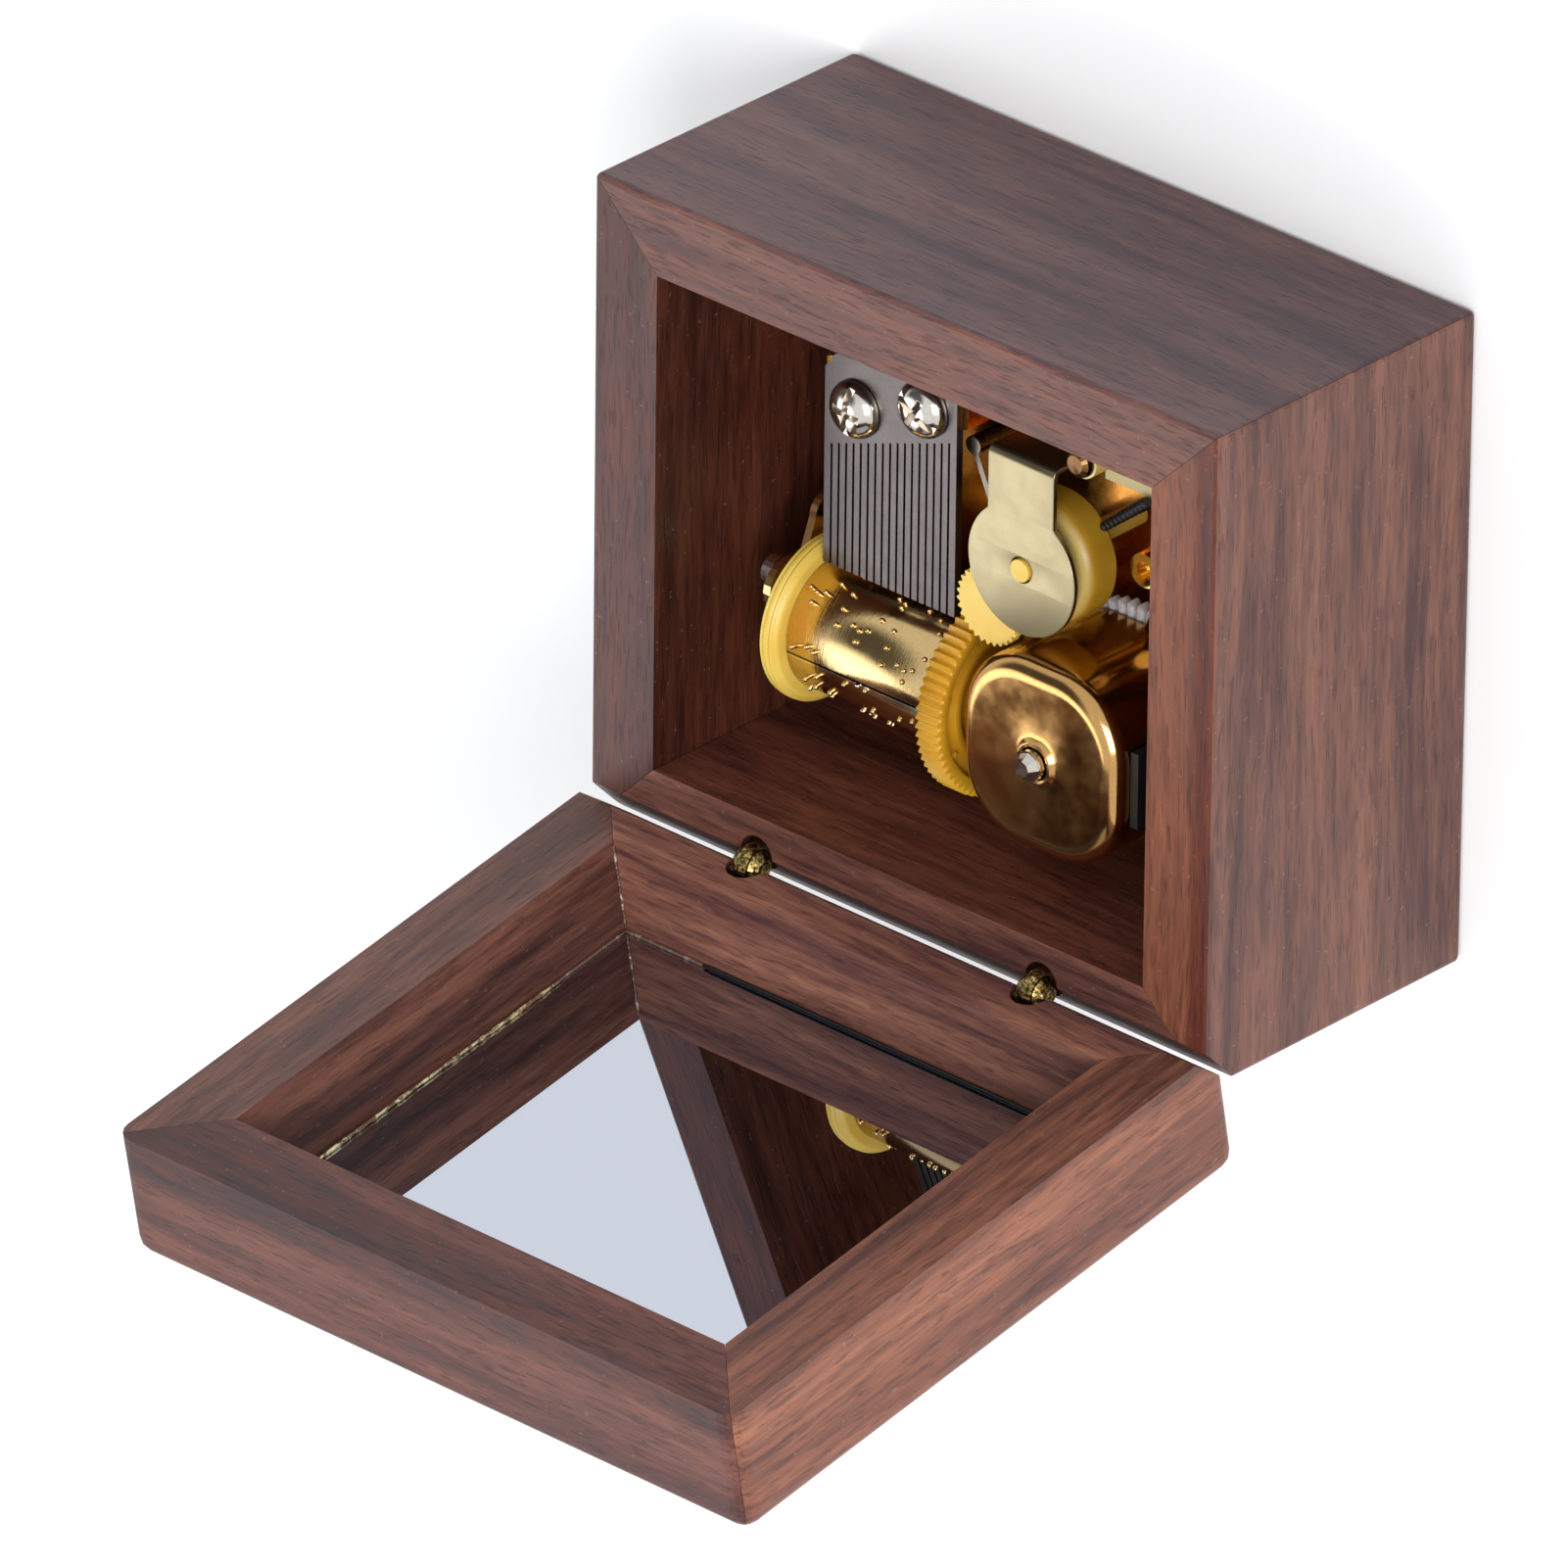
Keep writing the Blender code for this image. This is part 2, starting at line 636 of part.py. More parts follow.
slot_half = math.sqrt(GEAR_R ** 2 - (AXIS_Z - PLATE_TOP) ** 2) + 1.7
gear_slot = rounded_rectangle(GEAR_RIGHT - 0.6, GEAR_LEFT + 0.6, CYL_Y - slot_half,
                              CYL_Y + slot_half, 0.8, 3)
mount_holes = [ring_of(x, y, SCREW_R + SEAT) for x, y in MOUNT_SCREWS]
winder_hole = ring_of(SPRING_X, SPRING_Y, WINDER_R + RUN)
COMB_SCREWS = [(x, root_line(x) - COMB_SCREW_BACK)
               for x in (COMB_LEFT - COMB_SCREW_IN, COMB_RIGHT + COMB_SCREW_IN)]
bedplate = prism(rounded_rectangle(PLATE_RIGHT, PLATE_LEFT, PLATE_NEAR, PLATE_FAR, 2.0),
                 PLATE_LOW, PLATE_TOP, holes=[gear_slot, winder_hole, *mount_holes])
block_left, block_right = COMB_LEFT + 0.6, COMB_RIGHT - 0.6
comb_block = [(block_left, root_line(block_left) - 1.0), (block_right, root_line(block_right) - 1.0),
              (block_right, comb_back(block_right) + 0.5), (block_left, comb_back(block_left) + 0.5)]
join(bedplate, prism(comb_block, PLATE_TOP - 0.5, BLOCK_TOP,
                     holes=[ring_of(x, y, SCREW_R + SEAT, 16) for x, y in COMB_SCREWS]))
for ear_x, ear_y in ear_places():
    join(bedplate, rod(EAR_R - 0.5, (ear_x, ear_y, PLATE_TOP - 0.5), (ear_x, ear_y, HOUSING_LOW - SEAT)))
finish(bedplate, "bedplate", GOLD)


# Comb

def comb_outline():
    points = [(COMB_LEFT, comb_back(COMB_LEFT) + 1.2), (COMB_LEFT, TIP_Y)]
    for i in range(TEETH):
        tooth_left = COMB_LEFT - i * TOOTH_PITCH
        tooth_right = tooth_left - TOOTH_PITCH
        if i > 0:
            points.append((tooth_left - SLIT / 2, root_line(tooth_left)))
            points.append((tooth_left - SLIT / 2, TIP_Y))
        if i < TEETH - 1:
            points.append((tooth_right + SLIT / 2, TIP_Y))
            points.append((tooth_right + SLIT / 2, root_line(tooth_right)))
    points.append((COMB_RIGHT, TIP_Y))
    points.append((COMB_RIGHT, comb_back(COMB_RIGHT)))
    points.append((COMB_LEFT - 1.2, comb_back(COMB_LEFT - 1.2)))
    return points


comb_holes = [ring_of(x, y, SCREW_R + 0.15, 16) for x, y in COMB_SCREWS]
comb = prism(comb_outline(), COMB_LOW, COMB_TOP, holes=comb_holes)
finish(comb, "comb", STEEL)


def pan_screw(x, y, seat_z, length, head_r, head_h, turn, down=True):
    """A pan-head screw with a slot; its shank runs along Z."""
    sign = -1.0 if down else 1.0
    profile = [(0.0, head_h), (head_r * 0.55, head_h * 0.93), (head_r * 0.85, head_h * 0.72),
               (head_r, head_h * 0.35), (head_r, 0.0), (SCREW_R, 0.0), (SCREW_R, -length), (0.0, -length)]
    if not down:
        profile = [(r, -h) for r, h in reversed(profile)]
    item = turned(profile, (x, y, seat_z), 24)
    slot_low, slot_high = sorted((-sign * head_h * 0.55, -sign * (head_h + 1.0)))
    slot = box((-head_r - 1, -0.35, slot_low), (head_r + 1, 0.35, slot_high))
    slot.data.transform(Matrix.Rotation(math.radians(turn), 4, "Z"))
    slot.location = metres((x, y, seat_z))
    cut(item, slot)
    return item


COMB_SCREW_LENGTH = COMB_TOP - PLATE_TOP - 1.0
for label, (screw_x, screw_y), slot_turn in zip(("left", "right"), COMB_SCREWS, (82.0, 150.0)):
    screw = pan_screw(screw_x, screw_y, COMB_TOP + SEAT, COMB_SCREW_LENGTH, SCREW_HEAD_R, SCREW_HEAD_H,
                      slot_turn)
    finish(screw, "comb_screw_" + label, NICKEL)

MOUNT_LENGTH = PANEL_T + SEAT + BEDPLATE_T - 0.3
for number, (mount_x, mount_y) in enumerate(MOUNT_SCREWS, 1):
    screw = pan_screw(mount_x, mount_y, RECESS_H - SEAT, MOUNT_LENGTH, SCREW_HEAD_R, SCREW_HEAD_H,
                      35.0 * number, down=False)
    finish(screw, "mounting_screw_%d" % number, NICKEL)


# Cylinder with its music pins, end ring, gear and arbor

cylinder_hub = bpy.data.objects.new("cylinder_axis", None)
parts.objects.link(cylinder_hub)
cylinder_hub.location = metres((0.0, CYL_Y, AXIS_Z))


def pinned_cylinder():
    """The cylinder about its own axis, with one row of pins to each tooth."""
    solid = rod(CYL_R, (CYL_RIGHT, 0, 0), (CYL_LEFT, 0, 0), axis="X", steps=48)
    work = bmesh.new()
    for row in range(TEETH):
        x = COMB_LEFT - (row + 0.5) * TOOTH_PITCH
        for step in range(6):
            angle = math.tau * (step / 6 + 0.137 * row + 0.045 * (row * step % 5))
            centre = (CYL_R + PIN_H / 2 - 0.2)
            place = (Matrix.Rotation(angle, 4, "X")
                     @ Matrix.Translation(metres((x, 0.0, centre))))
            bmesh.ops.create_cone(work, cap_ends=True, segments=5, radius1=MUSIC_PIN_R * MM,
                                  radius2=MUSIC_PIN_R * 0.8 * MM, depth=(PIN_H + 0.4) * MM, matrix=place)
    join(solid, from_bmesh(work))
    cut(solid, rod(ARBOR_R + SEAT, (CYL_RIGHT - 1, 0, 0), (CYL_LEFT + 1, 0, 0), axis="X"))
    return solid


def on_axis(item, hub):
    """Hang a solid and its tools on an axis empty."""
    for step in item.modifiers:
        step.object.parent = hub
    return item


finish(on_axis(pinned_cylinder(), cylinder_hub), "cylinder", GOLD, cylinder_hub)

ridge = RING_R - 0.15
groove = RING_R - RING_GROOVE
ring_bore = ARBOR_R + SEAT
end_ring = turned([(ring_bore, RING_T), (ridge, RING_T), (RING_R, RING_T - 0.15), (RING_R, RING_T - 0.5),
                   (groove, RING_T - 0.65), (groove, 0.65), (RING_R, 0.5), (RING_R, 0.15),
                   (ridge, 0.0), (ring_bore, 0.0)], (RING_LOW, 0.0, 0.0), 48)
end_ring.rotation_euler = (0.0, math.pi / 2, 0.0)
finish(end_ring, "cylinder_end_ring", YELLOW, cylinder_hub)

cylinder_gear = prism(gear_outline(0.0, 0.0, GEAR_TEETH, GEAR_R, GEAR_TOOTH), GEAR_RIGHT, GEAR_LEFT, axis="X")
dish = rod(GEAR_R - 2.0, (GEAR_RIGHT - 1, 0, 0), (GEAR_RIGHT + 1.7, 0, 0), axis="X", steps=40)
cut(dish, rod(2.4, (GEAR_RIGHT - 2, 0, 0), (GEAR_RIGHT + 3, 0, 0), axis="X"))
cut(cylinder_gear, dish)
cut(cylinder_gear, rod(ARBOR_R + SEAT, (GEAR_RIGHT - 1, 0, 0), (GEAR_LEFT + 1, 0, 0), axis="X"))
on_axis(dish, cylinder_hub)
finish(on_axis(cylinder_gear, cylinder_hub), "cylinder_gear", YELLOW, cylinder_hub)

arbor = rod(ARBOR_R, (RIGHT_BEARING[0] - 0.2, 0, 0), (LEFT_BEARING[1] + 0.8, 0, 0), axis="X")
finish(on_axis(arbor, cylinder_hub), "cylinder_arbor", STEEL, cylinder_hub)

bearing_left_outline = (
    [(CYL_Y + BEARING_FAR, PLATE_TOP + SEAT), (CYL_Y + BEARING_FAR, AXIS_Z - 1.0)]
    + arc(CYL_Y - LOBE_NEAR, AXIS_Z + BEARING_LOBE, LOBE_R, 0, 180, 10)
    + [(CYL_Y - LOBE_NEAR - LOBE_R, AXIS_Z + 0.6)]
    + arc(CYL_Y - BEARING_NEAR + 2.0, AXIS_Z - 2.5, 2.0, 90, 180, 5)
    + [(CYL_Y - BEARING_NEAR, PLATE_TOP + SEAT)])
bearing_left = prism(bearing_left_outline, *LEFT_BEARING, axis="X",
                     holes=[ring_of(CYL_Y, AXIS_Z, ARBOR_R + 0.1)])
join(bearing_left, box((LEFT_BEARING[0] + 0.2, CYL_Y - BEARING_NEAR, PLATE_TOP + SEAT),
                       (LEFT_BEARING[1] + BEARING_FOOT, CYL_Y + BEARING_FAR, PLATE_TOP + SEAT + BEARING_T)))
finish(bearing_left, "bearing_bracket_left", GOLD)

arch_half = 5.0
arch_top = DRIVE_LOW + DRIVE_T + RUN
foot = PLATE_TOP + SEAT
bearing_right_outline = (
    [(SPRING_Y + arch_half, foot), (SPRING_Y + arch_half + 1.8, foot),
     (SPRING_Y + arch_half + 1.8, arch_top + 1.5)]
    + arc(CYL_Y, AXIS_Z, 2.2, 20, 160, 10)
    + [(SPRING_Y - arch_half - 1.8, arch_top + 1.5), (SPRING_Y - arch_half - 1.8, foot),
       (SPRING_Y - arch_half, foot), (SPRING_Y - arch_half, arch_top), (SPRING_Y + arch_half, arch_top)])
bearing_right = prism(bearing_right_outline, *RIGHT_BEARING, axis="X",
                      holes=[ring_of(CYL_Y, AXIS_Z, ARBOR_R + 0.1)])
finish(bearing_right, "bearing_bracket_right", GOLD)

BEARING_SCREW = (CYL_Y - LOBE_NEAR - 1.2, AXIS_Z + BEARING_LOBE + 0.3)
bearing_screw = rod(RIVET_R, (LEFT_BEARING[1] + SEAT, *BEARING_SCREW),
                    (LEFT_BEARING[1] + 1.2, *BEARING_SCREW), axis="X")
finish(bearing_screw, "bearing_screw", NICKEL)


# Spring housing, mainspring, drive gear, winding shaft and key

def squircle(size, corner, steps=6):
    half = size / 2
    return rounded_rectangle(SPRING_X - half, SPRING_X + half, SPRING_Y - half, SPRING_Y + half,
                             corner, steps)


def ear_strip(ear_x, ear_y):
    """The flat strip from the housing's middle out to an ear."""
    reach = Vector((ear_x - SPRING_X, ear_y - SPRING_Y)).normalized()
    side_x, side_y = -reach.y * (EAR_R - 0.1), reach.x * (EAR_R - 0.1)
    outline = [(SPRING_X - side_x, SPRING_Y - side_y), (ear_x - side_x, ear_y - side_y),
               (ear_x + side_x, ear_y + side_y), (SPRING_X + side_x, SPRING_Y + side_y)]
    return prism(outline, HOUSING_LOW, HOUSING_LOW + EAR_T)


def spring_housing():
    shell = prism(squircle(HOUSING_SIZE, HOUSING_CORNER), HOUSING_LOW, HOUSING_TOP)
    work = bmesh.new()
    work.from_mesh(shell.data)
    top = [e for e in work.edges
           if all(v.co.z > (HOUSING_TOP - 0.01) * MM for v in e.verts) and len(e.link_faces) == 2
           and abs(e.link_faces[0].normal.z - e.link_faces[1].normal.z) > 0.5]
    bmesh.ops.bevel(work, geom=top, offset=HOUSING_ROUND * MM, segments=4, profile=0.5, affect="EDGES")
    work.to_mesh(shell.data)
    work.free()
    for ear_x, ear_y in ear_places():
        join(shell, rod(EAR_R, (ear_x, ear_y, HOUSING_LOW), (ear_x, ear_y, HOUSING_LOW + EAR_T)))
        join(shell, ear_strip(ear_x, ear_y))
    inner = prism(squircle(HOUSING_SIZE - 2 * HOUSING_WALL, HOUSING_CORNER - HOUSING_WALL),
                  HOUSING_LOW - 1.0, HOUSING_TOP - HOUSING_WALL)
    cut(shell, inner)
    join(shell, rod(BOSS_R, (SPRING_X, SPRING_Y, HOUSING_TOP - HOUSING_WALL / 2),
                    (SPRING_X, SPRING_Y, HOUSING_TOP + BOSS_H), tip_radius=BOSS_R - 0.15))
    cut(shell, rod(WINDER_R + SHAFT_PLAY, (SPRING_X, SPRING_Y, HOUSING_TOP - 3),
                   (SPRING_X, SPRING_Y, HOUSING_TOP + 1)))
    for ear_x, ear_y in ear_places():
        cut(shell, rod(0.8, (ear_x, ear_y, HOUSING_LOW - 1), (ear_x, ear_y, HOUSING_LOW + 2), steps=12))
    return shell


finish(spring_housing(), "spring_housing", GOLD)

for number, (ear_x, ear_y) in enumerate(ear_places(), 1):
    top = HOUSING_LOW + EAR_T + SEAT
    head = rod(RIVET_R, (ear_x, ear_y, top), (ear_x, ear_y, top + 0.9))
    join(head, rod(0.7, (ear_x, ear_y, HOUSING_LOW), (ear_x, ear_y, top + 0.1), steps=12))
    finish(head, "housing_rivet_%d" % number, GOLD)


def spring_outline():
    """A flat spiral strip, out along one side and back along the other."""
    inner, outer = WINDER_R + 1.6, HOUSING_SIZE / 2 - HOUSING_WALL - 0.5
    steps = SPRING_TURNS * 20
    outward, inward = [], []
    for i in range(steps + 1):
        share = i / steps
        angle = math.tau * SPRING_TURNS * share
        radius = inner + (outer - inner) * share
        for points, r in ((outward, radius), (inward, radius - SPRING_STRIP)):
            points.append((SPRING_X + r * math.cos(angle), SPRING_Y + r * math.sin(angle)))
    return outward + inward[::-1]


spring_low = HOUSING_LOW + SPRING_CLEAR
turn_gap = (HOUSING_SIZE / 2 - HOUSING_WALL - 0.5 - WINDER_R - 1.6) / SPRING_TURNS - SPRING_STRIP
print("mainspring: least gap between turns %.2f mm" % turn_gap)
finish(prism(spring_outline(), spring_low, spring_low + SPRING_H), "mainspring", STEEL)

winder_axis = bpy.data.objects.new("winding_axis", None)
parts.objects.link(winder_axis)
winder_axis.location = metres((SPRING_X, SPRING_Y, 0.0))
KEY_TOP = RECESS_H - KEY_DROP
KEY_LOW = KEY_TOP - KEY_H
SHAFT_LOW = KEY_TOP + 0.4
SHAFT_TOP = HOUSING_TOP + WINDER_TOP
TIP_LOW = SHAFT_TOP - WINDER_TIP
winding_shaft = rod(WINDER_R, (0, 0, SHAFT_LOW), (0, 0, TIP_LOW))
join(winding_shaft, rod(WINDER_R - 0.05, (0, 0, TIP_LOW - 0.2), (0, 0, SHAFT_TOP), steps=8,
                        tip_radius=WINDER_R * 0.55))
join(winding_shaft, rod(WINDER_R + 1.0, (0, 0, spring_low), (0, 0, spring_low + SPRING_H)))
finish(on_axis(winding_shaft, winder_axis), "winding_shaft", STEEL, winder_axis)


def winding_key():
    """A wing key: a hub on the shaft's end and two flat wings."""
    hub_top = KEY_TOP + KEY_HUB_H
    wings = rounded_rectangle(-KEY_W / 2, KEY_W / 2, KEY_LOW, KEY_TOP, 1.9, 5)
    key = prism(wings, -KEY_T / 2, KEY_T / 2)
    key.data.transform(Matrix.Rotation(math.pi / 2, 4, "X"))
    join(key, rod(KEY_HUB_R, (0, 0, KEY_TOP - 1.5), (0, 0, hub_top)))
    cut(key, rod(WINDER_R + SEAT, (0, 0, KEY_TOP + 0.3), (0, 0, hub_top + 1.0)))
    return key


finish(on_axis(winding_key(), winder_axis), "winding_key", GOLD, winder_axis)

drive_axis = bpy.data.objects.new("drive_axis", None)
parts.objects.link(drive_axis)
drive_axis.location = metres((SPRING_X, SPRING_Y, 0.0))
drive_gear = prism(gear_outline(0.0, 0.0, DRIVE_TEETH, DRIVE_R, 0.8), DRIVE_LOW, DRIVE_LOW + DRIVE_T,
                   holes=[ring_of(0.0, 0.0, WINDER_R + SHAFT_PLAY)])
finish(drive_gear, "drive_gear", WHITE, drive_axis)

PLATE_X = SPRING_X - HOUSING_SIZE / 2 - SEAT
CLICK_HALF = HOUSING_SIZE / 2 - HOUSING_CORNER + 1.7
click_plate = box((PLATE_X - 0.9, SPRING_Y - CLICK_HALF, HOUSING_LOW + EAR_T + 1.2),
                  (PLATE_X, SPRING_Y + CLICK_HALF, HOUSING_TOP - HOUSING_ROUND - 0.2))
finish(click_plate, "click_plate", BLACK)


# Governor

def governor_bracket():
    gap_left = math.degrees(math.asin((STEM_LEFT - GOV_X) / DISC_R))
    gap_right = math.degrees(math.asin((GOV_X - STEM_RIGHT) / DISC_R))
    outline = (arc(GOV_X, GOV_Y, DISC_R, -90 + gap_left, 270 - gap_right, 40)
               + [(STEM_RIGHT, STEM_END), (STEM_LEFT, STEM_END)])
    plate = prism(outline, GOV_Z - BRACKET_T, GOV_Z,
                  holes=[ring_of(GOV_X, GOV_Y, GOV_ARBOR_R + 0.15)])
    foot_low = PLATE_TOP + SEAT
    join(plate, box((STEM_RIGHT, STEM_END, foot_low),
                    (STEM_LEFT, STEM_END + BRACKET_T, GOV_Z - BRACKET_T / 2)))
    join(plate, box((STEM_RIGHT, STEM_END - FOOT_LEN, foot_low),
                    (STEM_LEFT, STEM_END + BRACKET_T / 2, foot_low + BRACKET_T)))
    return plate


finish(governor_bracket(), "governor_bracket", GOLD)

drum = turned([(DRUM_R, DRUM_Z), (DRUM_R, DRUM_Z - DRUM_H), (DRUM_R - DRUM_WALL, DRUM_Z - DRUM_H),
               (DRUM_R - DRUM_WALL, DRUM_Z - DRUM_WALL), (GOV_ARBOR_R + 0.2, DRUM_Z - DRUM_WALL),
               (GOV_ARBOR_R + 0.2, DRUM_Z)], (GOV_X, GOV_Y, 0.0), 48)
finish(drum, "governor_drum", YELLOW)

governor_axis = bpy.data.objects.new("governor_axis", None)
parts.objects.link(governor_axis)
governor_axis.location = metres((GOV_X, GOV_Y, 0.0))
governor_arbor = rod(GOV_ARBOR_R, (0, 0, PLATE_TOP + 0.3), (0, 0, GOV_Z + 0.25))
join(governor_arbor, prism(gear_outline(0.0, 0.0, GOV_PINION_TEETH, GOV_PINION_R, 0.4),
                           FIRST_Z, FIRST_Z + FIRST_T))
finish(on_axis(governor_arbor, governor_axis), "governor_arbor", YELLOW, governor_axis)
governor_fly = prism(rounded_rectangle(-FLY_LEN / 2, FLY_LEN / 2, -FLY_W / 2, FLY_W / 2, 0.8),
                     FLY_Z, FLY_Z + FLY_T, holes=[ring_of(0.0, 0.0, GOV_ARBOR_R + SEAT)])
finish(governor_fly, "governor_fly", WHITE, governor_axis)

first_axis = bpy.data.objects.new("first_gear_axis", None)
parts.objects.link(first_axis)
first_axis.location = metres((FIRST_X, FIRST_Y, 0.0))
first_gear = prism(gear_outline(0.0, 0.0, FIRST_TEETH, FIRST_R, 0.35), FIRST_Z, FIRST_Z + FIRST_T)
join(first_gear, rod(FIRST_SHAFT_R, (0, 0, PLATE_TOP + RUN), (0, 0, FIRST_Z + FIRST_T + 0.15), steps=16))
pinion_low = DRIVE_LOW - RUN
join(first_gear, prism(gear_outline(0.0, 0.0, FIRST_PINION_TEETH, FIRST_PINION_R, 0.7),
                       pinion_low, pinion_low + FIRST_PINION_H))
finish(on_axis(first_gear, first_axis), "first_gear", YELLOW, first_axis)

PLATFORM_TOP = FLOOR + PLATFORM_RISE
platform_near = STEM_END - PLATFORM_OUT
platform_far = platform_near + PLATFORM_D
platform_right = PLATE_RIGHT + PLATFORM_INSET
platform_left = STEM_RIGHT - 0.4
platform = box((platform_right, platform_near, PLATFORM_TOP - PLATFORM_T),
               (platform_left, platform_far, PLATFORM_TOP))
join(platform, box((platform_right, platform_near + 1.0, PLATE_TOP + SEAT),
                   (platform_right + PLATFORM_LEG, platform_far - 1.0, PLATFORM_TOP - PLATFORM_T / 2)))
POST = (STEM_RIGHT - POST_OUT, STEM_END - POST_NEAR)
POST_TOP = PLATFORM_TOP + POST_RISE
join(platform, rod(POST_R, (*POST, PLATFORM_TOP - PLATFORM_T / 2), (*POST, POST_TOP)))
cut(platform, rod(0.9, (*POST, POST_TOP - 3.0), (*POST, POST_TOP + 1.0), steps=16))
finish(platform, "governor_platform", CREAM)
head_low = POST_TOP + SEAT
platform_screw = turned([(0.0, POST_HEAD_H), (POST_HEAD_R * 0.6, POST_HEAD_H * 0.88),
                         (POST_HEAD_R * 0.9, POST_HEAD_H * 0.55), (POST_HEAD_R, POST_HEAD_H * 0.2),
                         (POST_HEAD_R, 0.0), (0.8, 0.0), (0.8, -2.6), (0.0, -2.6)], (*POST, head_low), 20)
finish(platform_screw, "platform_screw", BRONZE)

PILLAR = (GOV_X - PILLAR_OUT, GOV_Y - PILLAR_BACK)
PILLAR_TOP = FLOOR + PILLAR_RISE
pillar = rod(PILLAR_R, (*PILLAR, PLATE_TOP + SEAT), (*PILLAR, PILLAR_TOP))
cut(pillar, rod(PILLAR_R - 0.8, (*PILLAR, PILLAR_TOP - 1.5), (*PILLAR, PILLAR_TOP + 1.0), steps=16))
finish(pillar, "governor_pillar", GOLD)

SET_SCREW_Z = DRUM_Z - DRUM_H + SET_SCREW_R + SEAT
set_dir = Vector((-0.77, -0.64, 0.0)).normalized()
set_start = Vector((GOV_X, GOV_Y, SET_SCREW_Z)) + set_dir * (DRUM_R + SEAT)


def set_screw():
    """A threaded rod: a profile of rings turned about its length."""
    profile = [(0.0, SET_SCREW_LEN)]
    rings = 10
    root = SET_SCREW_R - 0.17
    for i in range(rings):
        top = SET_SCREW_LEN * (1 - i / rings)
        pitch = SET_SCREW_LEN / rings
        profile += [(root, top), (SET_SCREW_R, top - pitch * 0.35), (SET_SCREW_R, top - pitch * 0.65)]
    profile += [(root, 0.0), (0.0, 0.0)]
    item = turned(profile, (0.0, 0.0, 0.0), 12)
    item.rotation_mode = "QUATERNION"
    item.rotation_quaternion = set_dir.to_track_quat("Z", "Y")
    item.location = set_start * MM
    return item


finish(set_screw(), "governor_set_screw", BLACK)

# Stop lever beside the comb
STOP_PIVOT = (COMB_RIGHT - 0.7, root_line(COMB_RIGHT) + 0.5)
STOP_LEN = 6.6
STOP_TURN = 25.0
STOP_TOP = COMB_LOW - 0.6
STOP_H = 3.2
stop_axis = bpy.data.objects.new("stop_axis", None)
parts.objects.link(stop_axis)
stop_axis.location = metres((*STOP_PIVOT, 0.0))
stop_lever = box((-0.3, 0.0, STOP_TOP - STOP_H), (0.3, STOP_LEN, STOP_TOP))
stop_lever.data.transform(Matrix.Rotation(math.radians(STOP_TURN), 4, "Z"))
join(stop_lever, rod(0.9, (0, 0, PLATE_TOP + SEAT), (0, 0, STOP_TOP), steps=16))
finish(on_axis(stop_lever, stop_axis), "stop_lever", STEEL, stop_axis)

# The origin goes to the middle of the front wall's underside
for group in (parts, cutters):
    for item in group.objects:
        if item.parent is None:
            item.location.y += (HALF_D - WALL / 2) * MM
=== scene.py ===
"""Looks for the wooden music box: materials, fine pieces, floor, light and camera."""
import math

import bmesh
import bpy
from mathutils import Matrix, Vector


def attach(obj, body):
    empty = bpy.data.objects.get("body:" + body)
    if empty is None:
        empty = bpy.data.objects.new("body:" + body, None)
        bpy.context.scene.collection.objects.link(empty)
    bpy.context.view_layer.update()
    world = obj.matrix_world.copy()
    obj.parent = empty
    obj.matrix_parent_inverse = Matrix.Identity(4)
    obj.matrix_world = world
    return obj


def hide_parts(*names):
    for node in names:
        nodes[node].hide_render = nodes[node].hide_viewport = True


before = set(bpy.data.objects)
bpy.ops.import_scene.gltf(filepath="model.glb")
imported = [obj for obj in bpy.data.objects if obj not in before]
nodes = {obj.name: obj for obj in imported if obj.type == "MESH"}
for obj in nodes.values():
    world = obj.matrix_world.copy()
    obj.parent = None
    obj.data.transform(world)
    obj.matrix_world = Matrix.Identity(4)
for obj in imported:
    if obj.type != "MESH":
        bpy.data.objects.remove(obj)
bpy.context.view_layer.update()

MM = 0.001


def linear(red, green, blue):
    """An sRGB colour from 0 to 255 as linear values."""
    out = []
    for value in (red, green, blue):
        v = value / 255
        out.append(v / 12.92 if v <= 0.04045 else ((v + 0.055) / 1.055) ** 2.4)
    return (*out, 1.0)


